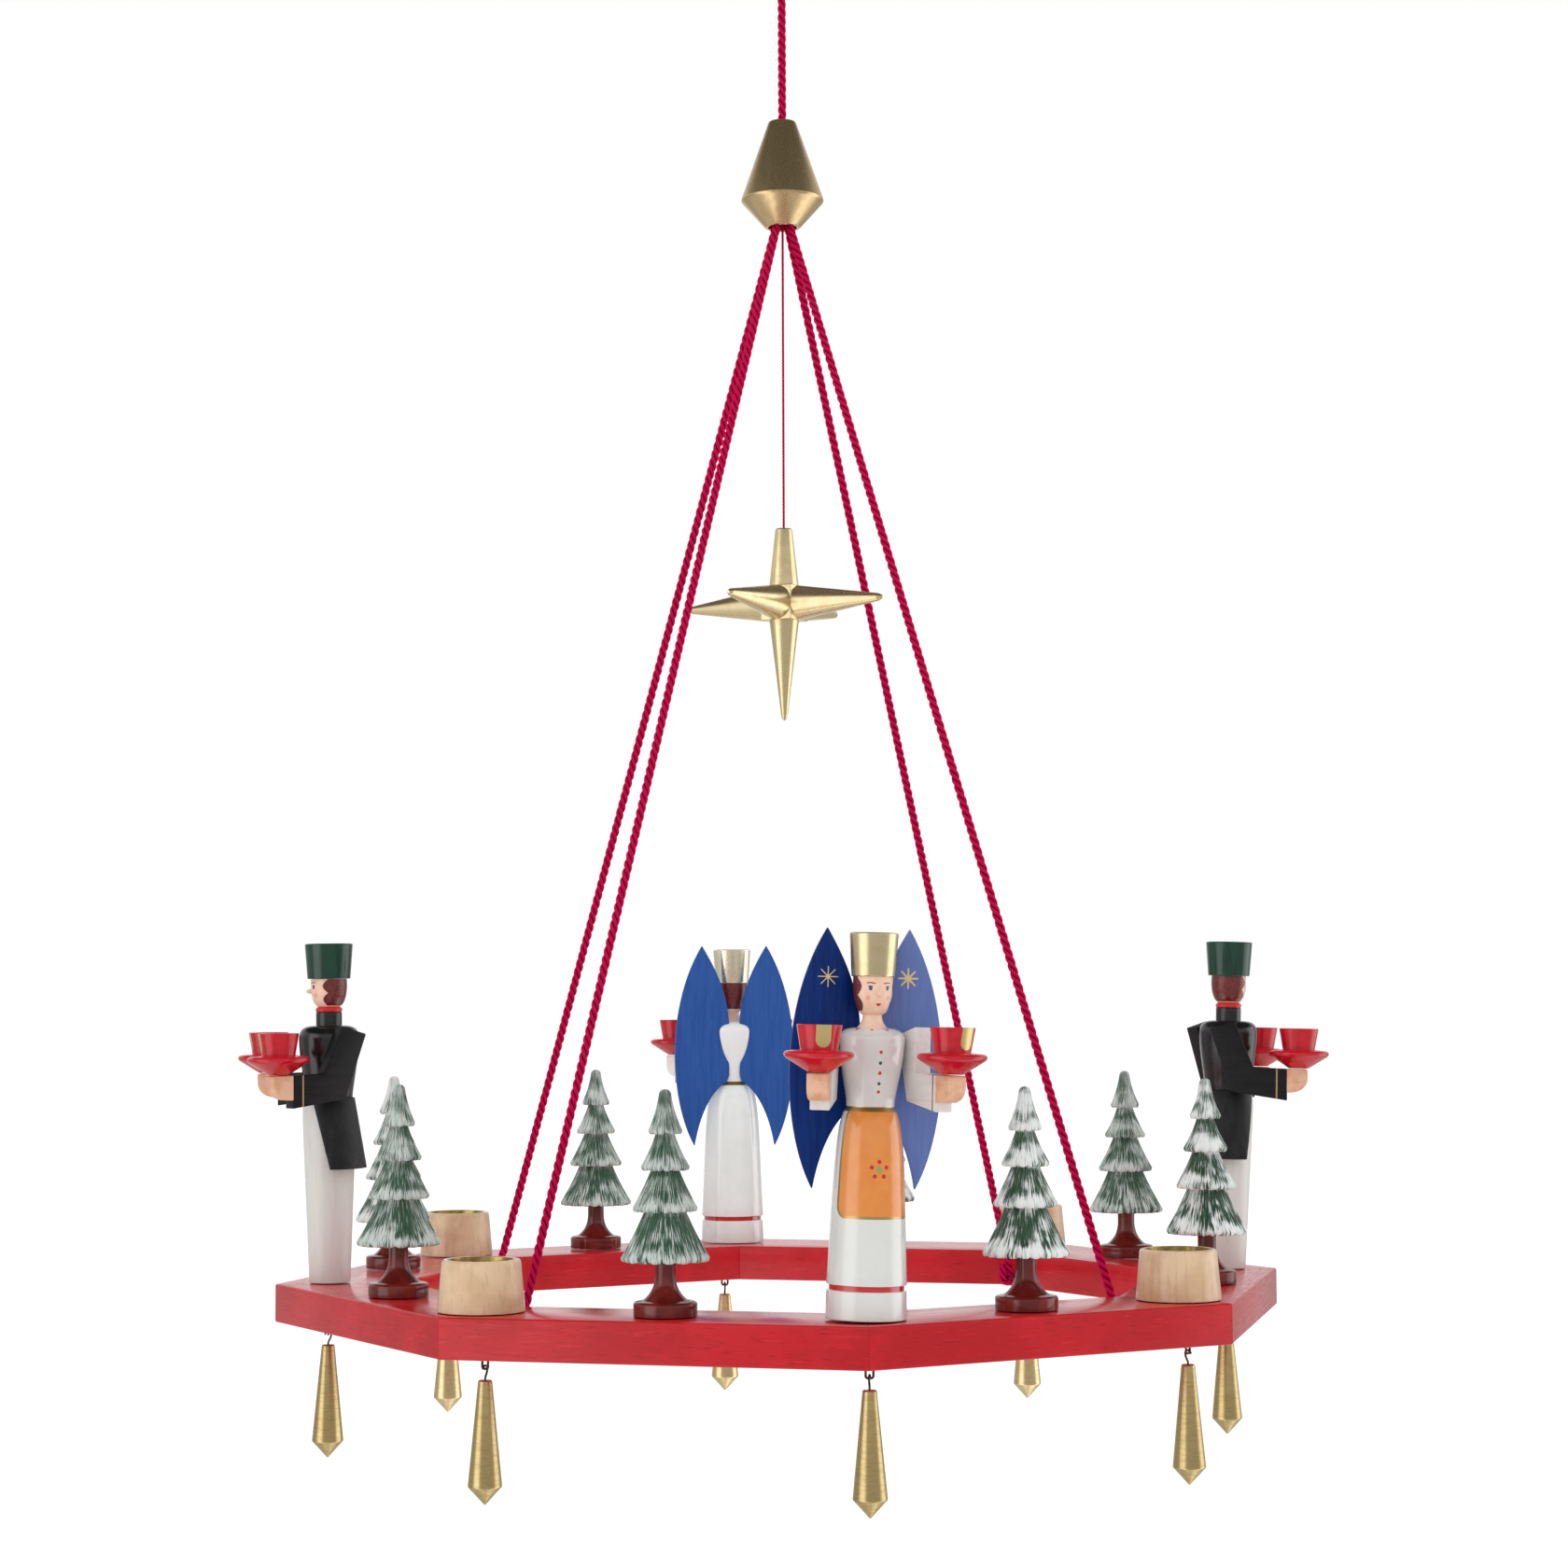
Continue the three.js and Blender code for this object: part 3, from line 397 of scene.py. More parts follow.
def new_group(name, inputs, outputs):
    """Empty group of shader nodes with named sockets."""
    group = bpy.data.node_groups.new(name, "ShaderNodeTree")
    for socket, kind in inputs.items():
        group.interface.new_socket(name=socket, in_out="INPUT", socket_type="NodeSocket" + kind)
    for socket in outputs:
        group.interface.new_socket(name=socket, in_out="OUTPUT", socket_type="NodeSocketFloat")
    source = group.nodes.new("NodeGroupInput")
    return group, source.outputs, group.nodes.new("NodeGroupOutput")


grain_group, given, result = new_group(
    "Grain", {"Place": "Vector", "Stretch": "Vector"}, ["Streaks", "Flecks"])
drawn_out = vector("MULTIPLY", given["Place"], given["Stretch"])
fill(result, {"Streaks": noise(drawn_out, 1.0, 4.0, 0.6),
              "Flecks": between(noise(drawn_out, 2.3, 2.0), 0.6, 0.72)})


def grain(shader, stretch):
    """Streaks and flecks of wood grain, drawn out by the smaller numbers of the stretch."""
    inputs = {"Place": attribute(shader, "grain_mm"), "Stretch": stretch}
    made = put(shader.id_data, "Group", inputs, node_tree=grain_group)
    return made.outputs["Streaks"], made.outputs["Flecks"]


def blotches(shader, scale, detail=3.0):
    """Uneven value over a piece, different on each of its kind."""
    return noise(attribute(shader, "grain_mm"), scale, detail)


def surface(shader, paint, pattern, smoothest, roughest, relief=0.0):
    """Gives a shader its paint, and a roughness and a relief that follow a pattern."""
    fill(shader, {"Base Color": paint, "Roughness": between(pattern, 0.3, 0.7, smoothest, roughest)})
    if relief:
        fill(shader, {"Normal": bump(pattern, relief)})


def gold_finish(name, stretch, relief, base, shade, light):
    """Satin gold paint over the marks of the lathe or the grain."""
    finish, shader = new_finish(name, metallic=0.92)
    streaks = grain(shader, stretch)[0]
    worn_bright = between(blotches(shader, 0.11), 0.5, 0.75, 0, 0.5)
    gold = layered(base, (shade, between(streaks, 0.4, 0.7)), (light, worn_bright))
    surface(shader, gold, streaks, 0.24, 0.3, relief)
    return finish


HUB_MIDDLE = 442
HUB_SIDES = 64
HUB_PROFILE = [
    (1.9, 444.7), (5.8, 444.7), (5.8, 420.7, 0.4), (7, 420.7, 0.5), (16.85, 431.7, 0.9),
    (5.5, 464.4, 1.0), (1.9, 464.4),
]
gold_hub_paint = gold_finish("gold paint on the hub", (0.5, 0.5, 0.05), 0.006,
                             (206, 180, 134), (198, 170, 124), (212, 190, 146))
hub_rings = [(radius, height - HUB_MIDDLE, *easing) for radius, height, *easing in HUB_PROFILE]
hub = turned("hub_model", hub_rings, HUB_SIDES)
bpy.ops.object.mode_set(mode="EDIT")
bpy.ops.mesh.select_mode(type="FACE")
bpy.ops.mesh.select_all(action="DESELECT")
bpy.ops.object.mode_set(mode="OBJECT")
for polygon in hub.data.polygons:
    polygon.select = len(polygon.vertices) == HUB_SIDES
bpy.ops.object.mode_set(mode="EDIT")
bpy.ops.mesh.bridge_edge_loops()
bpy.ops.mesh.select_mode(type="VERT")
face_outward()
fitted(hub, "gold_hub", Matrix.Translation(at(0, 0, HUB_MIDDLE)), gold_hub_paint, "hub")
discard(hub)

# Star: a small cube with a turned ray on each face, painted gold all over.
# The four level rays are alike, the lower one is slimmer, and the upper one is cut short for the thread.
STAR_HEIGHT = 267.7
STAR_CUBE = 14
STAR_TURN = -37
RAY_SIDES = 48
star_paint = gold_finish("gold paint on the star", (0.2, 0.2, 0.2), 0.004,
                         (228, 210, 164), (222, 202, 154), (234, 218, 178))
star = added(bpy.ops.mesh.primitive_cube_add, size=STAR_CUBE * MM)
bpy.ops.object.mode_set(mode="EDIT")
bpy.ops.mesh.bevel(offset=0.5 * MM, segments=3)
bpy.ops.object.mode_set(mode="OBJECT")
level_ray = [(6.6, 6.4), (6.98, 6.9), (6.95, 7.1), (1.5, 43.1, 1.2), (0.5, 44.5)]
rays = [turned(f"ray_{quarter}", level_ray, RAY_SIDES) for quarter in range(4)]
for quarter, ray in enumerate(rays):
    ray.data.transform(rotated(90 * quarter) @ rotated(90, "X"))
upper_ray = [(5.6, 6.4), (5.95, 6.9), (3.4, 30.3, 0.6), (0.8, 30.3), (0.8, 26)]
lower_ray = [(5.6, -6.4), (5.95, -6.9), (1.25, -45.6, 1.0), (0.4, -47)]
rays += [turned("upper_ray", upper_ray, RAY_SIDES), turned("lower_ray", lower_ray, RAY_SIDES)]
only(star)
for ray in rays:
    ray.select_set(True)
bpy.ops.object.join()
smooth(28)
star_place = Matrix.Translation(at(0, 0, STAR_HEIGHT)) @ rotated(STAR_TURN)
fitted(star, "gold_star", star_place, star_paint, "star", body="star")
discard(star)

# Ring: eight wooden rails, mitred, glued into an octagon and lacquered red together.
# The long edges are eased, and the grain of the wood shows through the lacquer as fine dashes.
CORNERS = 8
RING_RADIUS = 200
RAIL_WIDTH = 43.8
RAIL_DEPTH = 14.7
RAIL_STOCK = 170
MITRE_GLUE = 0.02
HALF_STEP = radians(CORNER_STEP / 2)
OUTER_FLAT = RING_RADIUS * cos(HALF_STEP)


def calc(operation, *terms):
    """What an operation makes of values and plain numbers."""
    return put(tree_of(terms), "Math", dict(enumerate(terms)), operation=operation).outputs[0]


def times(*factors):
    """Product of values and plain numbers."""
    return reduce(lambda one, other: calc("MULTIPLY", one, other), factors)


red_lacquer, shader = new_finish("red lacquer", specular=0.38)
streaks, flecks = grain(shader, (0.075, 0.95, 0.95))
red = layered(
    (200, 26, 36),
    ((184, 18, 28), between(blotches(shader, 0.035), 0.35, 0.65)),
    ((158, 14, 24), between(streaks, 0.55, 0.75, 0, 0.55)),
    ((222, 60, 66), between(streaks, 0.42, 0.28, 0, 0.4)),
    ((142, 8, 18), times(flecks, 0.75)),
)
surface(shader, red, streaks, 0.15, 0.26, 0.025)

rail = added(bpy.ops.mesh.primitive_cube_add, size=1,
             location=(0, (RAIL_WIDTH / 2 - OUTER_FLAT) * MM, -RAIL_DEPTH / 2 * MM),
             scale=(RAIL_STOCK * MM, RAIL_WIDTH * MM, RAIL_DEPTH * MM))
bpy.ops.object.mode_set(mode="EDIT")
for side in (-1, 1):
    across = Vector((side * cos(HALF_STEP), sin(HALF_STEP), 0))
    bpy.ops.mesh.select_all(action="SELECT")
    bpy.ops.mesh.bisect(plane_co=across * -MITRE_GLUE * MM, plane_no=across, use_fill=True, clear_outer=True)
bpy.ops.mesh.select_mode(type="EDGE")
for long_edges, easing in ((True, 0.8), (False, 0.15)):
    bpy.ops.mesh.select_all(action="DESELECT")
    bpy.ops.object.mode_set(mode="OBJECT")
    for edge in rail.data.edges:
        start, end = (rail.data.vertices[v].co for v in edge.vertices)
        run_of_edge = end - start
        is_long = abs(run_of_edge.x) > 100 * MM
        upright = abs(run_of_edge.z) > 0.9 * (RAIL_DEPTH - 2) * MM and run_of_edge.length < 20 * MM
        edge.select = is_long if long_edges else upright
    bpy.ops.object.mode_set(mode="EDIT")
    bpy.ops.mesh.bevel(offset=easing * MM, segments=3)
face_outward()
smooth(30)
for k in range(CORNERS):
    fitted(rail, f"lacquered_rail_{k + 1}", on_ring(k + 0.5), red_lacquer, f"ring_rail_{k + 1}",
           number=k)
discard(rail)

# Staples: bent steel wire, driven into the ring and lacquered over with it.
# One hangs under each corner for a drop, and one stands on the inner face of four rails for a cord.
STAPLE_WIRE = 0.9
STAPLE_BEND = 0.8
INNER_FACE = -140.976
DROP_PLACE = (3.4, -179.6)


def plain_finish(name, base, shade, spread, pattern, rough, relief=0.0, **settings):
    """Two shades in blotches of a scale or in streaks of a stretch, which set the roughness as well."""
    finish, shader = new_finish(name, **settings)
    shaded = grain(shader, pattern)[0] if isinstance(pattern, tuple) else blotches(shader, pattern)
    surface(shader, layered(base, (shade, between(shaded, *spread))), shaded, *rough, relief)
    return finish


def wire(name, points, diameter):
    """Round wire bent along points in mm."""
    piece = meshed(name, [[[value * MM for value in point] for point in points]], diameter / 2, 3)
    smooth(50)
    return piece


def staple_points(width, depth):
    """U in the XZ plane with rounded corners, its bar below z = 0."""
    side = width / 2 - STAPLE_WIRE / 2
    low = STAPLE_WIRE / 2 - depth
    half = [(side, 3)]
    for step in range(5):
        swing = step * pi / 8
        half.append((side - STAPLE_BEND + STAPLE_BEND * cos(swing),
                     low + STAPLE_BEND - STAPLE_BEND * sin(swing)))
    return [(x, 0, z) for x, z in half] + [(-x, 0, z) for x, z in reversed(half)]


lacquered_wire = plain_finish("lacquered wire", (110, 20, 26), (62, 34, 34), (0.4, 0.65), 0.8, (0.3, 0.5),
                              metallic=0.35)
drop_staple = wire("drop_staple_model", staple_points(3.6, 5.1), STAPLE_WIRE)
cord_staple = wire("cord_staple_model", staple_points(7.4, 4.6), STAPLE_WIRE)
cord_staple.data.transform(rotated(90, "X"))
for k in range(CORNERS):
    fitted(drop_staple, f"drop_staple_{k + 1}", on_ring(k, *DROP_PLACE, -RAIL_DEPTH), lacquered_wire,
           f"ring_rail_{k + 1}", number=k)
for k, side in CORD_FIXINGS:
    place = on_ring(k + 0.5, side * STAPLE_BAR.x, INNER_FACE, STAPLE_BAR.z)
    fitted(cord_staple, f"cord_staple_{k + 1}", place, lacquered_wire, f"ring_rail_{k + 1}",
           number=k)
discard(drop_staple, cord_staple)

# Drops: slim points turned from wood and painted gold, the marks of the lathe still showing.
# Each has a bent steel wire in its top, and its open hook hangs over the bar of a staple.
BAR_BELOW_RING = -19.35
HOOK_BEND = 1.15
LATHE_MARKS = (0.2, 0.2, 1.2)
# The three rear drops take a paler copy of the gold paint, as painted light.
REAR_DROPS_PALED_AS_LIGHT = (3, 4, 5)
drop_paint = gold_finish("gold paint on the drops", LATHE_MARKS, 0.007,
                         (194, 172, 120), (180, 156, 104), (208, 188, 138))
drop_paint_paled_as_light = gold_finish("gold paint on the drops paled as painted light", LATHE_MARKS, 0.007,
                              (222, 200, 152), (212, 188, 138), (232, 214, 170))
hook_steel = plain_finish("hook steel", (96, 92, 88), (58, 52, 48), (0.35, 0.65), 1.1, (0.22, 0.42),
                          metallic=0.95)
drop = turned("drop_model", [(0.25, -47.0), (6.05, -40.7, 0.35), (2.45, -3.9, 0.6), (0.45, -3.9)], 48)
hook_line = [(0, -8.9), (0, -3.3), (0.12, -2.85), (0.45, -2.2), (0.85, -1.4), (1.05, -0.8)]
for angle in range(-10, 191, 20):
    swing = radians(angle)
    hook_line.append((HOOK_BEND * cos(swing), HOOK_BEND * sin(swing)))
hook = wire("hook_model", [(0, y, z) for y, z in hook_line], 0.8)
for k in range(CORNERS):
    place = on_ring(k, *DROP_PLACE, BAR_BELOW_RING)
    gold = drop_paint_paled_as_light if k in REAR_DROPS_PALED_AS_LIGHT else drop_paint
    fitted(drop, f"gold_drop_{k + 1}", place, gold, f"drop_{k + 1}", f"drop_{k + 1}", k)
    fitted(hook, f"drop_hook_{k + 1}", place, hook_steel, f"drop_{k + 1}", f"drop_{k + 1}", k)
discard(drop, hook)

# Trees: each is turned from one piece, and the rims of its four skirts are notched all round.
# The skirts are stained green and dry-brushed with white from the rim up; trunk and foot are brown.
SKIRTS = [
    {"rim": 31, "neck": 14.5, "foot": 20.1, "top": 35.97, "middle": 0.45, "notches": 19, "bare": 0.9},
    {"rim": 22.7, "neck": 10, "foot": 37.3, "top": 50.07, "middle": 0.45, "notches": 17, "bare": 0.74},
    {"rim": 17, "neck": 6.6, "foot": 51.4, "top": 62.57, "middle": 0.42, "notches": 14, "bare": 0.48},
    {"rim": 12, "neck": 4.3, "foot": 63.9, "top": 76.3, "middle": 0.36, "notches": 11, "bare": 0.22},
]
SKIRT_STEPS = 9
NOTCH_DEPTH = 0.085
NOTCH_RISE = 0.75
# How bare of snow the wood is: 0 on a rim, up to 1 under the next skirt, and 2 where it is brown
BROWN = 2.0
TIP_BARE = 0.18
TRUNK_TOP = 18.5
TREE_MIDDLE = 50
GLUE = 0.3
RAIL_MIDDLE = -166.376
TREE_TURN = 67
SNOWY_TREES = (2, 4, 6, 7)


def sweep(start, pull_out, pull_in, end, pieces):
    """Smooth stretch of a profile, without its first point."""
    points = []
    for i in range(1, pieces + 1):
        t = i / pieces
        shares = ((1 - t) ** 3, 3 * t * (1 - t) ** 2, 3 * t * t * (1 - t), t ** 3)
        points.append(tuple(sum(s * p[axis] for s, p in zip(shares, (start, pull_out, pull_in, end)))
                            for axis in (0, 1)))
    return points


tree_profile = [(10.4, 0), (11.1, 0, 0.3), (11.15, 4.9, 1.1), (8.03, 5.4, 0.5)]
tree_profile += sweep((8.03, 5.4), (5.6, 7.0), (3.6, 9.8), (3.5, 14.2), 8)
tree_profile += [(3.5, 18.2)]
for skirt in SKIRTS:
    rim, neck, foot, top = skirt["rim"] / 2, skirt["neck"] / 2, skirt["foot"], skirt["top"]
    tree_profile += [(rim - 1.1, foot - 1.4), (rim - 0.5, foot - 1.33), (rim - 0.1, foot - 0.8), (rim, foot)]
    for i in range(1, SKIRT_STEPS + 1):
        t = i / SKIRT_STEPS
        fall = 1 - (3 - 4 * skirt["middle"]) * t + (2 - 4 * skirt["middle"]) * t * t
        tree_profile.append((neck + (rim - neck) * fall, foot + (top - foot) * t))
tree_profile += [(1.95, 77.0), (1.5, 77.55), (0.8, 77.9), (0.2, 78)]
tree_model = turned("tree_model", tree_profile, 144, 40)
bareness = []
for vertex in tree_model.data.vertices:
    x, y, z = (value / MM for value in vertex.co)
    radius = hypot(x, y)
    turn = atan2(y, x)
    bare = BROWN if z < TREE_MIDDLE else TIP_BARE
    for i, skirt in enumerate(SKIRTS):
        low, high = skirt["foot"] - 1.45, skirt["top"]
        if low < z <= high + 0.02 and not (z > high - 0.1 and radius > skirt["neck"] / 2 + 0.4):
            up = min(max((z - skirt["foot"]) / (high - skirt["foot"]), 0), 1)
            wander = 0.5 * sin(3 * turn + 2 * i) + 0.35 * sin(5 * turn + i)
            notch = 1 - abs(sin(skirt["notches"] / 2 * turn + wander)) ** 0.55
            near_rim = (1 - up) ** 2.2
            share = 1 - NOTCH_DEPTH * notch * near_rim * min(1, radius / 4)
            vertex.co.x *= share
            vertex.co.y *= share
            vertex.co.z += (NOTCH_RISE * notch * near_rim ** 2) * MM
            bare = up * skirt["bare"]
    bareness.append(BROWN if z < TRUNK_TOP else bare)
tree_model.data.attributes.new("bare", "FLOAT", "POINT").data.foreach_set("value", bareness)


def less(value, taken):
    """Value with another taken from it."""
    return calc("SUBTRACT", value, taken)


def tree_finish(name, stains, snows, rim, soft, fine, cover, patchy):
    """Green stain under brushed snow; a lower rim lays more snow on, a lower fine makes it coarser."""
    finish, shader = new_finish(name)
    around = vector("NORMALIZE", vector("MULTIPLY", attribute(shader, "paint_mm"), (1, 1, 0)))
    upward = vector("MULTIPLY", attribute(shader, "grain_mm"), (0.012, 0.012, 0.13))
    strokes = noise(vector("MULTIPLY_ADD", around, (fine, fine, 0), upward), 1.4, 4.0, 0.62)
    strokes = between(strokes, 0.2, 0.8, 0.12, 0.88)
    patches = blotches(shader, 0.15, 1.0)
    bare = attribute(shader, "bare", "Fac")
    covering = less(strokes, between(bare, 0.0, 0.34, rim, 0.48))
    covering = less(covering, between(bare, 0.34, 1.0, 0.0, 0.14))
    covering = calc("ADD", covering, between(patches, 0.3, 0.7, -patchy, patchy))
    brushed = between(covering, -0.01 - soft, 0.08 + soft, 0.0, cover)
    is_trunk = between(bare, 1.4, 1.6)
    stain = layered(stains[0], (stains[1], between(strokes, 0.4, 0.65)))
    snow = layered(snows[0], (snows[1], between(covering, 0.02, 0.3)))
    trunk = layered((120, 36, 29), ((100, 26, 22), between(patches, 0.4, 0.6)))
    fill(shader, {
        "Base Color": layered(stain, (snow, brushed), (trunk, is_trunk)),
        "Roughness": between(is_trunk, 0.0, 1.0, 0.55, 0.1),
        "Normal": bump(times(brushed, less(1.0, is_trunk)), 0.12),
    })
    return finish


dry_brushed = tree_finish("dry brushed tree paint", ((44, 80, 55), (68, 102, 75)),
                          ((147, 166, 156), (217, 223, 219)), 0.32, 0.06, 22, 0.85, 0.13)
thick_snow = tree_finish("thickly brushed tree paint", ((34, 70, 47), (64, 99, 72)),
                         ((167, 181, 174), (237, 240, 238)), 0.27, 0.05, 15, 0.96, 0.18)
for k in range(CORNERS):
    place = on_ring(k + 0.5, 0, RAIL_MIDDLE, GLUE, TREE_TURN * k)
    paint = thick_snow if k in SNOWY_TREES else dry_brushed
    fitted(tree_model, f"painted_tree_{k + 1}", place, paint, f"tree_{k + 1}", number=k)
discard(tree_model)

# Candle cups: turned from pale wood under a clear satin coat, and glued on at four corners.
# Each is bored out from above for its brass insert.
CORNER_PIECE = -178
CUPS = 4
CUP_SIDES = 72
pale_wood, shader = new_finish("pale turned wood", coat=0.6)
streaks, flecks = grain(shader, (0.55, 0.55, 0.06))
wood = layered(
    (228, 198, 160),
    ((212, 176, 136), between(blotches(shader, 0.09, 2.0), 0.35, 0.7)),
    ((192, 154, 118), between(streaks, 0.5, 0.72, 0, 0.5)),
    ((178, 132, 96), times(flecks, 0.3)),
)
surface(shader, wood, streaks, 0.34, 0.5, 0.025)
cup_profile = [(14.8, 0), (15.55, 0, 0.5), (13.9, 18.2, 1.4), (12, 18.2, 0.2), (12, 4.9), (0.5, 4.9)]
cup = turned("cup_model", cup_profile, CUP_SIDES)
for i in range(CUPS):
    fitted(cup, f"wooden_cup_{i + 1}", on_ring(2 * i + 1, 0, CORNER_PIECE, GLUE), pale_wood,
           f"candle_cup_{i + 1}", number=i)
discard(cup)

# Inserts: drawn from thin brass sheet and pressed into the cups, to keep the candles off the wood.
# Their walls taper slightly, and their floors are dulled by use.
drawn_brass, shader = new_finish("drawn brass", metallic=1.0)
tarnish = blotches(shader, 0.22)
brass = layered((192, 164, 98), ((150, 122, 68), between(tarnish, 0.4, 0.7)))
surface(shader, brass, tarnish, 0.2, 0.36)
fill(shader, {"Normal": bump(grain(shader, (0.9, 0.9, 0.08))[0], 0.02)})
insert_profile = [(9, 5.2), (11.7, 5.2, 0.6), (11.7, 18.2, 0.2), (11.2, 18.2, 0.2), (10.9, 5.7, 0.4),
                  (0.5, 5.7)]
insert = turned("insert_model", insert_profile, CUP_SIDES)
for i in range(CUPS):
    fitted(insert, f"drawn_insert_{i + 1}", on_ring(2 * i + 1, 0, CORNER_PIECE, GLUE), drawn_brass,
           f"brass_insert_{i + 1}", number=i)
discard(insert)

# Angels: a turned body in white paint, with a red groove above its base and a painted orange apron.
# Arms of sawn board are glued to its sides, splayed outward, and their hands are painted as skin.
ANGELS = ("angel_front", "angel_rear")
HANDS = (("right", -1), ("left", 1))
# Each figure has its corner, its turn, how far it stands aside and out, its lean aside and out,
# and the radius of its foot
FIGURES = {
    "angel_front": (0, 3.5, 2.5, 0, 1.6, 0, 14.1), "angel_rear": (4, 0, 0, 0, 0, 0, 14.1),
    "miner_left": (2, 6, 0, 1.1, 0, 0.5, 7.9), "miner_right": (6, 4, 0, 0.9, 0, 1.4, 7.9),
}


def figure_place(name, more_turn):
    """Place of a figure at its corner, set, turned and leant a little by hand when it was glued."""
    corner, turn, aside, out, lean_aside, lean_out, foot = FIGURES[name]
    lift = foot * sin(radians(lean_aside + lean_out))
    lean = rotated(lean_out, "X") @ rotated(lean_aside, "Y")
    return on_ring(corner, aside, CORNER_PIECE - out, GLUE + lift) @ lean @ rotated(turn + more_turn)


def on_figure(model, name, part, finish, node, number=0, more_turn=0.0, on=Matrix()):
    """Fits a piece of a figure where the figure stands, or on a place of its own there."""
    place = figure_place(name, more_turn) @ on
    fitted(model, f"{name}_{part}", place, finish, f"{name}_{node}", number=number)


def worked(piece, kind, **settings):
    """Works a piece with a modifier of this kind."""
    only(piece)
    step = piece.modifiers.new(kind, kind)
    for key, setting in settings.items():
        setattr(step, key, setting)
    bpy.ops.object.modifier_apply(modifier=kind)


def board(name, outline, thickness, edge, segments=2):
    """Board sawn to an outline in mm, centred on its thickness, with eased edges."""
    piece = added(bpy.ops.mesh.primitive_circle_add, vertices=len(outline), radius=1, fill_type="NGON")
    piece.name = name
    for vertex, (x, y) in zip(piece.data.vertices, outline):
        vertex.co = (x * MM, y * MM, -thickness / 2 * MM)
    bpy.ops.object.mode_set(mode="EDIT")
    bpy.ops.mesh.extrude_region_move(TRANSFORM_OT_translate={"value": (0, 0, thickness * MM)})
    face_outward()
    worked(piece, "BEVEL", width=edge * MM, segments=segments, angle_limit=radians(40))
    smooth(35)
    return piece


dab_group, given, result = new_group(
    "Dab", {"Place": "Vector", "Centre": "Vector", "Size": "Vector", "Edge": "Float"}, ["Mask"])
away = vector("DIVIDE", vector("SUBTRACT", given["Place"], given["Centre"]), given["Size"])
fill(result, {"Mask": between(vector("LENGTH", away), less(1.0, given["Edge"]), 1.0, 1.0, 0.0)})


def dab(place, centre, size, edge=0.25):
    """Mask of a dab of paint, an ellipsoid of half sizes about a centre, in mm."""
    half_sizes = size if isinstance(size, tuple) else (size, size, size)
    inputs = {"Place": place, "Centre": centre, "Size": half_sizes, "Edge": edge}
    return put(place.id_data, "Group", inputs, node_tree=dab_group).outputs["Mask"]


def most(*values):
    """Largest of values and plain numbers; of masks, wherever any of them is."""
    return reduce(lambda one, other: calc("MAXIMUM", one, other), values)


def stripe(value, low, high, soft=0.12):
    """Mask of a stripe between two values."""
    return times(between(value, low - soft, low + soft), between(value, high - soft, high + soft, 1.0, 0.0))


def distance(one, other):
    """Length that two values at right angles make together."""
    return calc("SQRT", calc("ADD", calc("POWER", one, 2.0), calc("POWER", other, 2.0)))


def parts_of(place):
    """X, Y and Z of a place."""
    return put(place.id_data, "SeparateXYZ", {0: place}).outputs


def bearing(parts):
    """Turn from the front, in radians."""
    return calc("ARCTAN2", parts["X"], times(parts["Y"], -1.0))


def round_place(place):
    """Turn from the front in radians, distance from the axis and height of a place in mm."""
    parts = parts_of(place)
    return bearing(parts), vector("LENGTH", vector("MULTIPLY", place, (1, 1, 0))), parts["Z"]


def dress_finish(name, whites, blouses):
    """White skirt with an orange apron edged in gold, a blouse with buttons, and dots about the neck."""
    finish, shader = new_finish(name, coat=0.9)
    place = attribute(shader, "paint_mm")
    turn, radius, height = round_place(place)
    brush = blotches(shader, 0.12)
    # The apron has round lower corners; inside is how far a place lies from its edge
    corner = 4.5
    to_side = times(less(1.29, calc("ABSOLUTE", turn)), radius)
    to_foot = less(height, 34.2)
    past_side, past_foot = (most(less(corner, to_edge), 0.0) for to_edge in (to_side, to_foot))
    inside = less(corner, distance(past_side, past_foot))
    below_waist = between(height, 70.2, 70.6, 1.0, 0.0)
    gold = most(times(stripe(inside, 0.0, 0.95), below_waist), stripe(height, 70.3, 72.0))
    spins = [2 * pi * i / 5 for i in range(5)]
    reds = [dab(place, (2.7 * sin(a), -12.0, 50.9 + 2.7 * cos(a)), (0.85, 4, 0.85)) for a in spins]
    reds += [dab(place, (0, -10.3, z), (0.72, 4, 0.72)) for z in (90.6, 83.5, 77.1)]
    reds += [dab(place, (9.2 * sin(a), -9.2 * cos(a), 98.2), 0.7) for a in (-0.9, -0.3, 0.3, 0.9)]
    greens = [dab(place, (0, -10.3, z), (0.68, 4, 0.68)) for z in (86.9, 79.9)]
    flower_heart = dab(place, (0, -12.0, 50.9), (1.35, 4, 1.35))
    front_only = times(between(turn, -1.3, -1.2), between(turn, 1.2, 1.3, 1.0, 0.0))
    blouse = layered(blouses[0], (blouses[1], between(brush, 0.4, 0.7)))
    apron = layered((230, 142, 56), ((224, 134, 48), between(brush, 0.35, 0.65)))
    dress = layered(
        whites[0],
        (whites[1], between(brush, 0.4, 0.7)),
        (blouse, between(height, 71.6, 72.2)),
        (apron, times(between(inside, 0.0, 0.2), below_waist)),
        ((190, 164, 96), gold),
        ((196, 26, 34), times(most(*reds), front_only)),
        ((52, 66, 48), times(most(*greens), front_only)),
        ((150, 158, 92), times(flower_heart, front_only)),
        ((206, 36, 34), stripe(height, 9.85, 11.75)),
    )
    fill(shader, {"Base Color": dress, "Metallic": times(gold, 0.85),
                  "Roughness": between(gold, 0.0, 1.0, 0.18, 0.34)})
    return finish


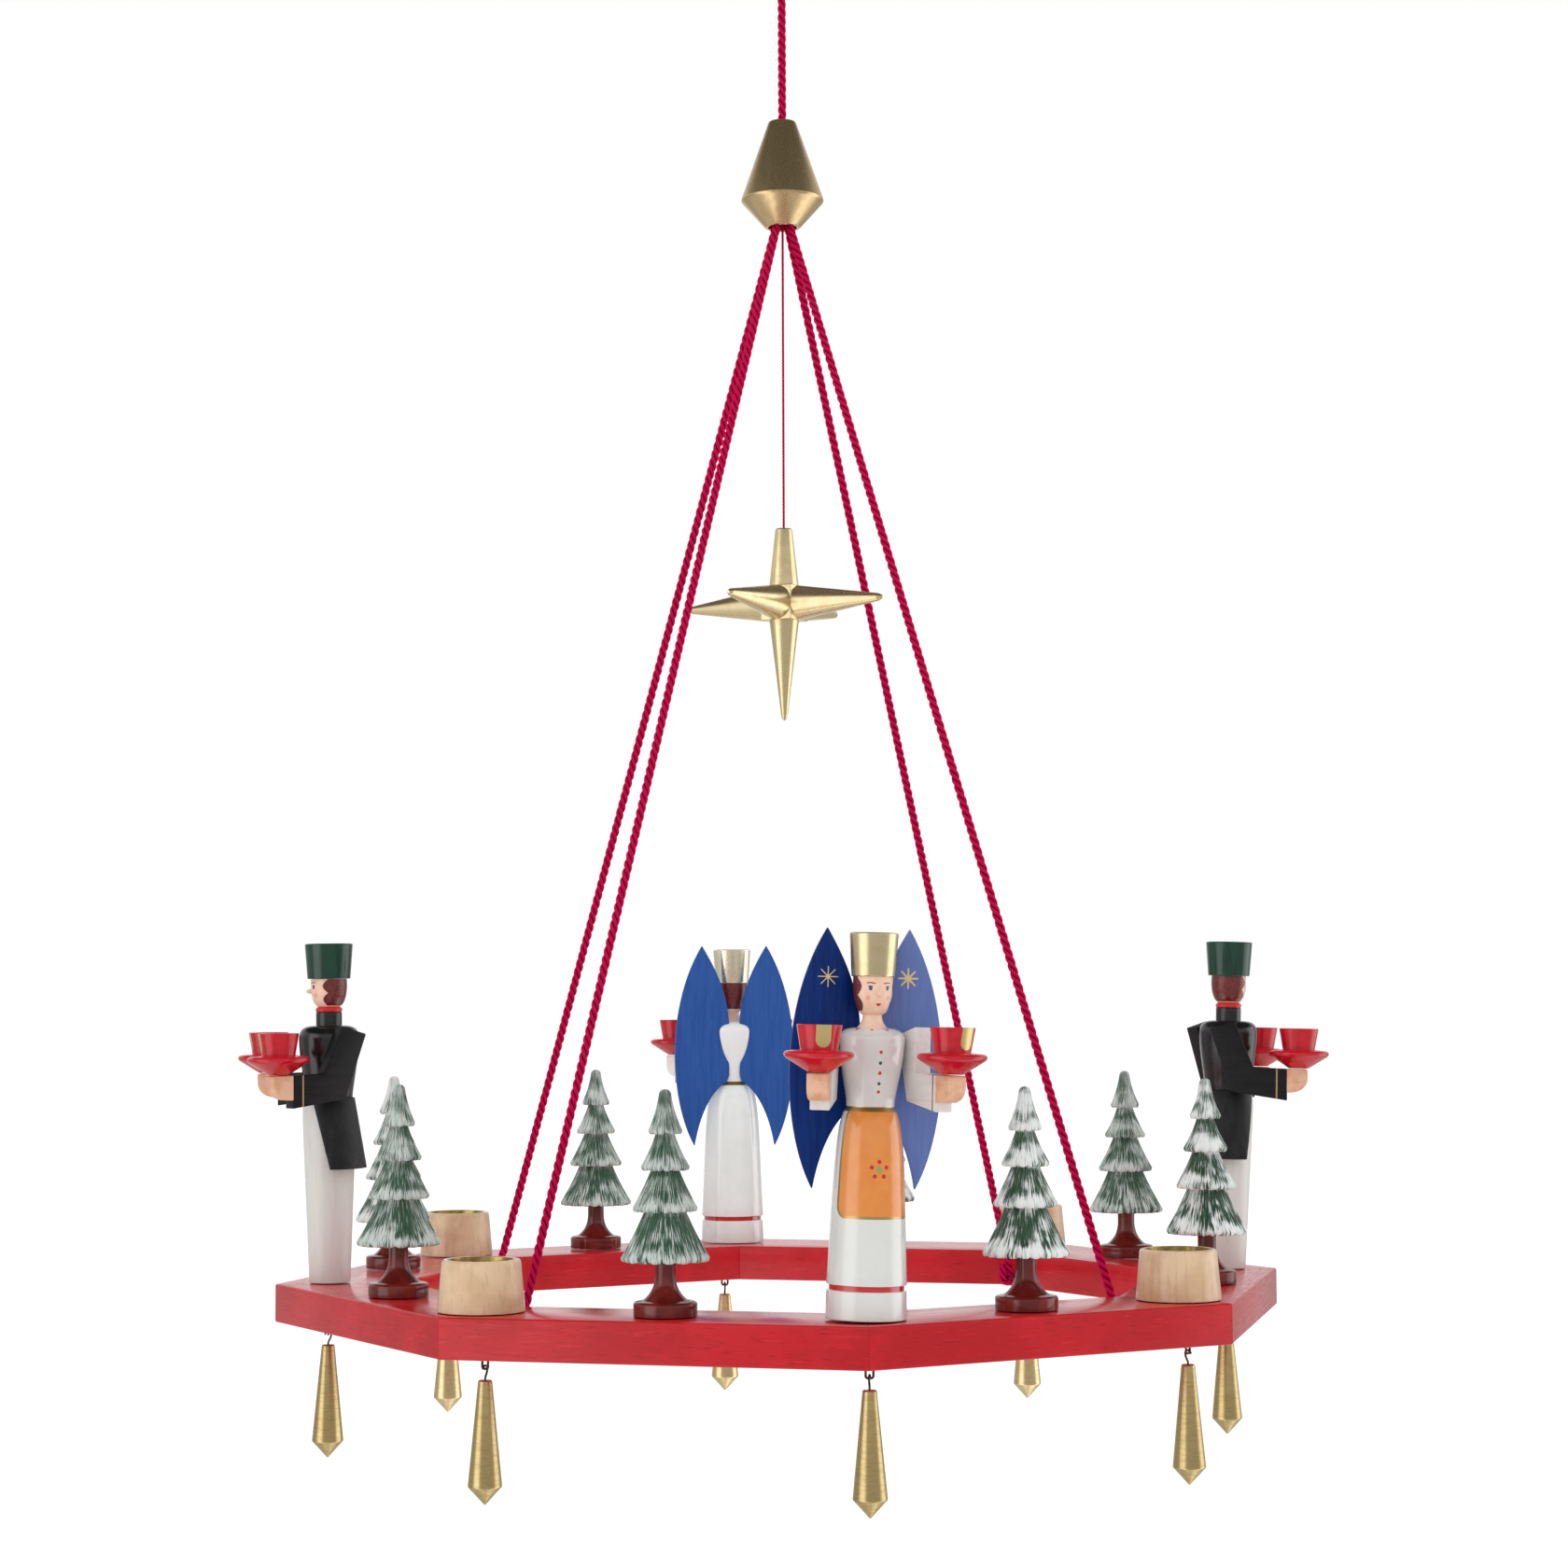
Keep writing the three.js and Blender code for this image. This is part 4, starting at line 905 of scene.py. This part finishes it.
# The rear angel's dress is a brighter white than the front angel's, as painted light that lifts it out of
# its shade.
DRESSES = {
    "angel_front": dress_finish("white dress with apron", ((224, 225, 221), (221, 222, 218)),
                                ((216, 210, 207), (210, 203, 200))),
    "angel_rear": dress_finish("white dress with apron brightened as painted light", ((243, 248, 245), (239, 244, 241)),
                               ((247, 250, 249), (244, 247, 246))),
}
PAINT_TURN = 4
dress_profile = [(13.4, 0), (14.1, 0, 0.6), (13.68, 9.8, 0.5), (12.9, 9.8), (12.9, 11.6), (13.9, 11.6, 0.5)]
dress_profile += sweep((13.85, 12.4), (12.232, 39.384), (12.649, 65.96), (8.3, 71.7), 20)
dress_profile += sweep((8.1, 72), (9.2, 80), (11.15, 86.4), (11.45, 94.4), 9)
dress_profile += sweep((11.45, 94.4), (11.45, 97.9), (8.5875, 98.9), (4.6, 98.9), 8)
dress_model = turned("dress_model", dress_profile + [(0.6, 98.9)], 72, 24)

SPLAY = 20
HAND_BESIDE = 23
HAND_FORWARD = 21.5
STAND_UP = Matrix(((0, 0, -1, 0), (-1, 0, 0, 0), (0, 1, 0, 0), (0, 0, 0, 1)))
SLEEVE_END = 17.32
HAND_END = 24.92
HAND_DEPTH = 9.4
ARM_BOARD = 6.8
HAND_BOARD = ARM_BOARD + 0.3
ANGEL_HAND_TOP = 83.4


def along(forward):
    """Distance along a splayed arm from its hand, for a distance in front of the figure."""
    return (forward - HAND_FORWARD) / cos(radians(SPLAY))


def arm_place(side):
    """Place of an arm board beside a figure; side is -1 for its right and 1 for its left."""
    hand = Matrix.Translation(Vector((side * HAND_BESIDE, -HAND_FORWARD, 0)) * MM)
    return hand @ rotated(side * SPLAY) @ STAND_UP


def sleeve_outline(top, shoulder_top, shoulder_front, shoulder_back, elbow_back):
    """Bent arm from shoulder to cuff, as it is sawn from the board."""
    points = [(shoulder_front, shoulder_top), (4.72, top + 0.4), (SLEEVE_END, top), (SLEEVE_END, top - 12.6),
              (elbow_back, top - 9.45), (shoulder_back, shoulder_top - 3)]
    return [(along(f), z) for f, z in points]


def hand_outline(top):
    """Mitten hand in front of the cuff, flat above for the holder and round below."""
    foot = top - HAND_DEPTH
    points = [(SLEEVE_END - 0.2, top), (HAND_END - 0.5, top), (HAND_END, top - 0.6), (HAND_END, top - 3.6)]
    points += sweep((HAND_END, top - 3.6), (HAND_END, top - 7.4), (SLEEVE_END + 4.2, foot),
                    (SLEEVE_END + 0.9, foot), 8)
    points.append((SLEEVE_END - 0.2, foot))
    return [(along(f), z) for f, z in points]


def sleeve_finish(name, base, shade, line, line_at, roughness):
    """Paint of a sleeve, with the line of a cuff across it."""
    finish, shader = new_finish(name, specular=0.3)
    streaks = grain(shader, (0.06, 0.5, 0.5))[0]
    forward = parts_of(attribute(shader, "paint_mm"))["X"]
    cuff = stripe(forward, along(line_at) - 0.32, along(line_at) + 0.32, 0.06)
    sleeve = layered(base, (shade, between(streaks, 0.4, 0.7)), (line, cuff))
    surface(shader, sleeve, streaks, roughness - 0.06, roughness + 0.08, 0.03)
    return finish


def hand_finish(name, base, shade, streak):
    """Skin paint over the grain of the board."""
    finish, shader = new_finish(name, roughness=0.45)
    streaks = grain(shader, (0.08, 0.6, 0.6))[0]
    skin = layered(base, (shade, between(blotches(shader, 0.22), 0.4, 0.65)),
                   (streak, between(streaks, 0.55, 0.75, 0, 0.4)))
    fill(shader, {"Base Color": skin, "Normal": bump(streaks, 0.02)})
    return finish


def fit_arms(name, sleeve, sleeve_paint, hand, hand_paint):
    """Both arms of a figure, each a sleeve and a hand."""
    for hold, side in HANDS:
        place = arm_place(side)
        on_figure(sleeve, name, f"sleeve_{hold}", sleeve_paint, "body", side, on=place)
        on_figure(hand, name, f"hand_{hold}", hand_paint, "body", side, on=place)


white_sleeve = sleeve_finish("white sleeve", (230, 225, 221), (220, 213, 209), (120, 82, 52), 15.5, 0.4)
skin_paint = hand_finish("skin paint", (234, 186, 152), (222, 164, 128), (208, 150, 116))
# The rear angel's hands take a paler copy of the skin paint, as painted light.
skin_paled_as_light = hand_finish("skin paint paled as painted light", (250, 240, 234), (247, 234, 227), (240, 224, 215))
HAND_PAINTS = {"angel_front": skin_paint, "angel_rear": skin_paled_as_light}
angel_arm = sleeve_outline(ANGEL_HAND_TOP, 99.4, 4.5, -5.5, 0.5)
angel_sleeve = board("angel_sleeve_model", angel_arm, ARM_BOARD, 0.4)
angel_hand = board("angel_hand_model", hand_outline(ANGEL_HAND_TOP), HAND_BOARD, 1.2, 4)
for name in ANGELS:
    on_figure(dress_model, name, "dress", DRESSES[name], "body", more_turn=PAINT_TURN)
    fit_arms(name, angel_sleeve, white_sleeve, angel_hand, HAND_PAINTS[name])
discard(dress_model, angel_sleeve, angel_hand)

# Heads of the angels: turned from one piece with the neck, and painted by hand.
# The crown is part of the same turning, flared and gilt, with a shallow hollow on top.
HEAD_TURNS = {"angel_front": 7, "angel_rear": 0, "miner_left": 0, "miner_right": 22}


def on_head(place, degrees, height, radius, size, edge=0.25):
    """Mask of a dab on a round head, turned from its front."""
    spin = radians(degrees)
    return dab(place, (radius * sin(spin), -radius * cos(spin), height), size, edge)


def pair(place, degrees, *more):
    """Masks of two dabs, one on each side of a face."""
    return [on_head(place, side * degrees, *more) for side in (-1, 1)]


def face_finish(name, eyes, brows, cheeks, mouth, hair, hair_from, hair_foot, lobes, neck):
    """Skin with eyes, brows, cheeks, a mouth and hair, for a head about 7 mm in radius."""
    finish, shader = new_finish(name, coat=0.15)
    place = attribute(shader, "paint_mm")
    turn, _, height = round_place(place)
    rosy = pair(place, 34, cheeks, 7.0, 1.5, 0.85)
    whites = pair(place, 26, eyes - 0.1, 7.1, (1.15, 1.15, 0.85))
    irises = pair(place, 26.5, eyes, 7.1, (0.86, 0.86, 0.92))
    pupils = pair(place, 26.5, eyes, 7.1, 0.3)
    lids = pair(place, 27, eyes + 0.72, 7.1, (1.1, 1.1, 0.24))
    strokes = []
    for degrees, rise in ((17, 0.0), (25, 0.22), (33, 0.12)):
        strokes += pair(place, degrees, brows + rise, 7.0, (0.8, 0.8, 0.26))
    lips = pair(place, 3.6, mouth + 0.12, 6.4, (0.7, 1.2, 0.42))
    lips.append(on_head(place, 0, mouth - 0.28, 6.3, (0.62, 1.2, 0.42)))
    lobe = calc("ABSOLUTE", calc("SINE", times(height, pi / lobes)))
    hairline = less(radians(hair_from + 9), times(lobe, radians(17)))
    covered = times(between(less(calc("ABSOLUTE", turn), hairline), -0.03, 0.03),
                    between(height, hair_foot - 0.1, hair_foot + 0.3))
    face = layered(
        (250, 212, 186),
        ((246, 201, 173), between(blotches(shader, 0.3), 0.4, 0.65)),
        ((226, 120, 112), times(most(*rosy), 0.72)),
        ((240, 232, 226), times(most(*whites), 0.7)),
        ((58, 88, 146), most(*irises)),
        ((58, 36, 36), most(*pupils, *lids)),
        ((134, 70, 54), times(most(*strokes), 0.95)),
        ((200, 40, 44), most(*lips)),
        (layered(hair[0], (hair[1], between(blotches(shader, 0.9), 0.4, 0.65))), covered),
        (neck[1], stripe(height, *neck[0])),
    )
    fill(shader, {"Base Color": face, "Roughness": between(covered, 0.0, 1.0, 0.38, 0.28)})
    return finish


def with_nose(head, forward, height, size):
    """Head with a small nose let into its front."""
    nose = added(bpy.ops.mesh.primitive_uv_sphere_add, segments=24, ring_count=16, radius=MM,
                 location=(0, -forward * MM, height * MM), scale=size)
    worked(head, "BOOLEAN", operation="UNION", object=nose)
    discard(nose)
    smooth(35)


angel_hair = ((112, 38, 30), (84, 26, 24))
bare_neck = ((0.0, 0.1), (246, 201, 173))
angel_face = face_finish("angel face", 112.2, 113.95, 108.9, 106.7, angel_hair, 62, 104.4, 6.1, bare_neck)
CROWN_MARKS = (0.12, 0.12, 0.3)
# The rear angel's crown takes a paler copy of the gold paint, as painted light.
CROWN_PAINTS = {
    "angel_front": gold_finish("gold paint on the crown", CROWN_MARKS, 0.003,
                               (224, 206, 164), (216, 197, 152), (230, 214, 176)),
    "angel_rear": gold_finish("gold paint on the crown paled as painted light", CROWN_MARKS, 0.003,
                              (250, 240, 212), (245, 233, 200), (252, 244, 222)),
}
angel_head_profile = [(4.0, 98.6), (5.3, 98.8), (4.6, 99.5), (3.9, 100.5), (3.45, 101.7), (3.3, 103.2)]
angel_head_profile += sweep((3.3, 103.2), (5.6, 103.7), (7.21, 109.2), (6.86, 116.2), 14)
angel_head = turned("angel_head_model", angel_head_profile + [(6.8, 116.5), (0.5, 116.5)])
with_nose(angel_head, 6.75, 110.3, (0.75, 0.9, 1.0))
crown_profile = [(6.5, 116.2), (7.45, 116.2, 0.5), (8.5, 131.3, 0.8), (7.5, 131.3, 0.3), (7.1, 130.3),
                 (0.5, 130.3)]
crown_model = turned("crown_model", crown_profile)
for number, name in enumerate(ANGELS):
    on_figure(angel_head, name, "face", angel_face, "head", number, HEAD_TURNS[name])
    on_figure(crown_model, name, "crown", CROWN_PAINTS[name], "head", number)
discard(angel_head, crown_model)

# Wings: leaves of thin board, stained blue so that the grain shows, and cut to the back they are glued to.
# A small gold star of eight strokes is painted on the front of each, near its tip.
WING_BOARD = 2
WING_BEHIND = 8.5
STAR_BESIDE = 14.2
STAR_ABOVE = 116.0


def wing_finish(name, base, shade, fleck, stroke=0.24):
    """Blue stain in the given shades, with the painted star."""
    finish, shader = new_finish(name, specular=0.15)
    streaks, flecks = grain(shader, (0.7, 0.7, 0.045))
    parts = parts_of(attribute(shader, "paint_mm"))
    star_x = less(calc("ABSOLUTE", parts["X"]), STAR_BESIDE)
    star_z = less(parts["Z"], STAR_ABOVE)
    reach = distance(star_x, star_z)
    to_stroke = calc("ABSOLUTE", calc("SINE", times(calc("ARCTAN2", star_z, star_x), 4.0)))
    to_stroke = times(to_stroke, reach, 0.25)
    painted_star = times(between(to_stroke, 0.4 * stroke, stroke, 1.0, 0.0),
                         between(reach, 3.3, 3.8, 1.0, 0.0), between(parts["Y"], 7.5, 7.9, 1.0, 0.0))
    blue = layered(base, (shade, between(streaks, 0.38, 0.66)), (fleck, times(flecks, 0.3)),
                   ((228, 204, 142), painted_star))
    surface(shader, blue, streaks, 0.34, 0.46, 0.03)
    fill(shader, {"Metallic": times(painted_star, 0.25)})
    return finish


# The front wings take darker and paler copies of the blue stain: painted shade on the right wing and a
# painted reflection on the left one.
mid_stain = wing_finish("blue stain", (48, 92, 168), (41, 84, 158), (70, 112, 184))
wing_stain_darkened_as_shade = wing_finish("blue stain darkened as painted shade", (4, 46, 118), (2, 36, 102), (26, 70, 138))
wing_stain_paled_as_reflection = wing_finish("blue stain paled as painted reflection", (102, 122, 182), (96, 116, 175), (116, 136, 192), 0.4)
WING_SHADE_AND_REFLECTION = {"angel_front_right": wing_stain_darkened_as_shade, "angel_front_left": wing_stain_paled_as_reflection}
wing_line = [(14.6, 133)]
wing_line += sweep((14.6, 133), (31.6, 105), (29.27, 63.2), (18.1, 43.2), 26)
wing_line += sweep((18.1, 43.2), (15.6, 58.2), (10.1, 68), (3.4, 72), 14)
wing_line += [(2.4, 75), (2.4, 98.9)]
wing_line += sweep((2.4, 98.9), (3.4, 112.9), (8.6, 123), (14.6, 133), 14)[:-1]
back_profile = [(radius + GLUE, *rest) for radius, *rest in dress_profile]
for hold, side in HANDS:
    wing = board(f"wing_model_{hold}", [(side * x, z) for x, z in wing_line], WING_BOARD, 0.3)
    wing.data.transform(Matrix.Translation((0, WING_BEHIND * MM, 0)) @ rotated(90, "X"))
    back = turned("back_model", back_profile + [(0.6, 98.9)], 72)
    worked(wing, "BOOLEAN", operation="DIFFERENCE", object=back)
    discard(back)
    smooth(30)
    for number, name in enumerate(ANGELS):
        # The front wings take the copies that carry painted shade and painted reflection.
        stain = WING_SHADE_AND_REFLECTION.get(f"{name}_{hold}", mid_stain)
        on_figure(wing, name, f"blue_wing_{hold}", stain, f"wing_{hold}", number + side)
    discard(wing)

# Holders: a candle socket, its saucer and its foot turned from one piece and painted red.
# One is glued on each hand of the four figures, with a tongue of gold on the front of its socket.
HOLDER_TURNS = {"angel_front_left": 32}
HOLDERS_AT = {"angel_front": 83.7, "angel_rear": 83.7, "miner_left": 80.9, "miner_right": 80.9}
holder_red, shader = new_finish("red holder paint", coat=0.1)
turn, radius, height = round_place(attribute(shader, "paint_mm"))
reach = distance(times(calc("ABSOLUTE", turn), radius), most(less(11.0, height), 0.0))
tongue = times(between(reach, 2.55, 2.8, 1.0, 0.0), between(radius, 5.9, 6.2), between(height, 7.6, 7.9))
red = layered((202, 12, 36), ((186, 8, 28), between(blotches(shader, 0.25), 0.4, 0.65)),
              ((214, 192, 128), tongue))
fill(shader, {"Base Color": red, "Metallic": times(tongue, 0.65),
              "Roughness": between(tongue, 0.0, 1.0, 0.2, 0.3)})
holder = turned("holder_model", [
    (3.2, 0), (3.85, 0, 0.2), (11.0, 4.5, 0.3), (11.9, 5.3, 0.5), (11.9, 6.4, 0.5), (11.0, 7.0, 0.4),
    (6.35, 7.48, 0.3), (7.8, 15.9, 0.35), (5.4, 15.9, 0.3), (5.13, 8.3, 0.2), (0.4, 8.3),
])
for number, (name, hand_top) in enumerate(HOLDERS_AT.items()):
    for hold, side in HANDS:
        on_hand = Matrix.Translation(Vector((side * HAND_BESIDE, -HAND_FORWARD, hand_top)) * MM)
        glued = rotated(HOLDER_TURNS.get(f"{name}_{hold}", 0))
        on_figure(holder, name, f"red_holder_{hold}", holder_red, f"holder_{hold}",
                  2 * number + side, on=on_hand @ glued)
discard(holder)

# Miners: turned legs in white and a turned coat in gloss black, glued together as one body.
# Their sleeves are sawn from board, black with a gold line, and a stiff black apron stands out behind.
MINERS = ("miner_left", "miner_right")
APRON_TURNS = {"miner_left": -6, "miner_right": 15}
MINER_HAND_TOP = 80.6
white_legs = plain_finish("white trousers", (222, 219, 213), (216, 212, 206), (0.4, 0.7), (0.5, 0.5, 0.05),
                          (0.34, 0.34), 0.02)
black_coat = plain_finish("gloss black coat", (20, 19, 21), (30, 29, 31), (0.4, 0.7), 0.2, (0.14, 0.22),
                          coat=0.1)
black_apron, shader = new_finish("stiff black apron", specular=0.35)
streaks = grain(shader, (0.4, 0.4, 0.12))[0]
black = layered((24, 24, 27), ((36, 36, 39), between(streaks, 0.4, 0.7)))
surface(shader, black, blotches(shader, 1.3, 4.0), 0.42, 0.6, 0.05)
black_sleeve = sleeve_finish("black sleeve", (16, 15, 18), (27, 26, 29), (176, 140, 96), 13.4, 0.5)
legs_profile = [(7.3, 0), (7.9, 0, 0.4), (10.3, 61.58, 8), (10.3, 68.02, 1.5), (9.3, 70.9), (0.6, 70.9)]
legs = turned("legs_model", legs_profile)
coat_profile = [(8.2, 70.9), (9, 70.9, 0.3)]
coat_profile += sweep((9, 71.6), (9.9, 79.6), (11.5, 86), (11.7, 94), 10)
coat_profile += sweep((11.7, 94), (11.7, 98.4), (9.36, 99.4), (5.05, 99.4), 9)
coat_model = turned("coat_model", coat_profile + [(5.05, 104.6, 0.4), (0.5, 104.6)], sharp=40)
miner_arm = sleeve_outline(MINER_HAND_TOP, 99, -2.4, -11.8, -3.5)
miner_sleeve = board("miner_sleeve_model", miner_arm, ARM_BOARD, 0.4)
miner_hand = board("miner_hand_model", hand_outline(MINER_HAND_TOP), HAND_BOARD, 1.2, 4)
apron_model = added(bpy.ops.mesh.primitive_cone_add, vertices=96, radius1=13.85 * MM, radius2=9.25 * MM,
                    depth=27.2 * MM, end_fill_type="NOTHING", location=(0, 0, 57.6 * MM))
bpy.ops.object.mode_set(mode="EDIT")
bpy.ops.mesh.select_all(action="SELECT")
bpy.ops.mesh.subdivide(number_cuts=3)
bpy.ops.mesh.select_all(action="SELECT")
bpy.ops.mesh.bisect(plane_co=(0, -6.5 * MM, 72.2 * MM), plane_no=(0, 0.9725, 0.2331), clear_inner=True)
face_outward()
worked(apron_model, "SOLIDIFY", thickness=1.2 * MM, offset=0)
worked(apron_model, "BEVEL", width=0.25 * MM, segments=2, angle_limit=radians(60))
smooth(40)
for number, name in enumerate(MINERS):
    on_figure(legs, name, "legs", white_legs, "body", number)
    on_figure(coat_model, name, "coat", black_coat, "body", number)
    on_figure(apron_model, name, "apron", black_apron, "body", number, APRON_TURNS[name])
    fit_arms(name, miner_sleeve, black_sleeve, miner_hand, skin_paint)
discard(legs, coat_model, apron_model, miner_sleeve, miner_hand)

# Heads of the miners: turned with a red bead for a collar, painted by hand, with a peg for the nose.
# The tall green hat is turned with the head and flares upward.
miner_hair = ((118, 40, 36), (92, 28, 28))
red_collar = ((104.4, 106.75), (206, 34, 34))
miner_face = face_finish("miner face", 114.2, 115.9, 110.9, 108.9, miner_hair, 72, 107.0, 5.3333, red_collar)
miner_head_profile = [(4.4, 104.6), (4.93, 104.6, 0.3), (5.3, 105.8, 0.5), (4.24, 106.7, 0.2)]
miner_head_profile += sweep((4.24, 106.7), (6.435, 107.7), (7.436, 112.7), (6.9355, 117.4), 14)
miner_head = turned("miner_head_model", miner_head_profile + [(0.5, 117.4)])
with_nose(miner_head, 7.3, 112.7, (0.85, 1.5, 0.85))
green_paint = plain_finish("green hat paint", (14, 62, 44), (8, 46, 34), (0.4, 0.68), (0.5, 0.5, 0.06),
                           (0.12, 0.22), 0.02, coat=0.1)
hat = turned("hat_model", [(7.6, 117.5), (8.35, 117.5, 0.4), (9.35, 131.2, 0.6), (0.5, 131.2)])
for number, name in enumerate(MINERS):
    on_figure(miner_head, name, "face", miner_face, "head", number, HEAD_TURNS[name])
    on_figure(hat, name, "hat", green_paint, "head", number)
discard(miner_head, hat)

# Studio: a plain pale floor well below the hanging piece, and a white backdrop behind it.
# The light is even; glossy paint mirrors the backdrop, two tall soft boxes and the dim room between them.
FLOOR_HEIGHT = -0.95
bpy.ops.mesh.primitive_plane_add(size=40, location=(0, 0, FLOOR_HEIGHT))
floor = bpy.context.object
floor.name = "studio_floor"
pale_floor, shader = new_finish("pale floor", roughness=0.9)
fill(shader, {"Base Color": (0.9, 0.9, 0.9, 1)})
tree = pale_floor.node_tree
rays = put(tree, "LightPath", {}).outputs
seen = most(rays["Is Camera Ray"], rays["Is Transmission Ray"])
glow = put(tree, "Emission", {"Color": (1, 1, 1, 1), "Strength": 1.16}).outputs[0]
mixed = put(tree, "MixShader", {0: times(seen, 0.8), 1: shader.outputs[0], 2: glow}).outputs[0]
fill(tree.nodes["Material Output"], {"Surface": mixed})
floor.data.materials.append(pale_floor)
floor.visible_glossy = False

world = bpy.data.worlds.new("studio")
bpy.context.scene.world = world
world.use_nodes = True
tree = world.node_tree
rays = put(tree, "LightPath", {}).outputs
direction = parts_of(put(tree, "TexCoord", {}).outputs["Generated"])
round_about = bearing(direction)
left_box = stripe(round_about, -1.5, -0.7, 0.2)
right_box = stripe(round_about, 1.2, 2.0, 0.2)
below_ceiling = between(direction["Z"], 0.35, 0.6, 1.0, 0.0)
boxes = times(most(left_box, right_box), below_ceiling, 1.9)
backdrop = between(direction["Y"], 0.85, 0.98)
dim_room = times(between(direction["Z"], 0.05, 0.25, 0.48, 0.78),
                 between(direction["Z"], 0.4, 0.6, 1.0, 0.07))
near_floor = between(direction["Z"], -0.5, -0.15, 0.68, 0.0)
mirrored = most(dim_room, boxes, backdrop, near_floor)
even_light = between(direction["X"], -0.9, 0.9, 1.08, 0.99)
strength = put(tree, "Mix", {0: rays["Is Glossy Ray"], 2: even_light, 3: mirrored}).outputs[0]
strength = put(tree, "Mix", {0: rays["Is Camera Ray"], 2: strength, 3: 1.0}).outputs[0]
fill(tree.nodes["Background"], {"Color": (1, 1, 1, 1), "Strength": strength})
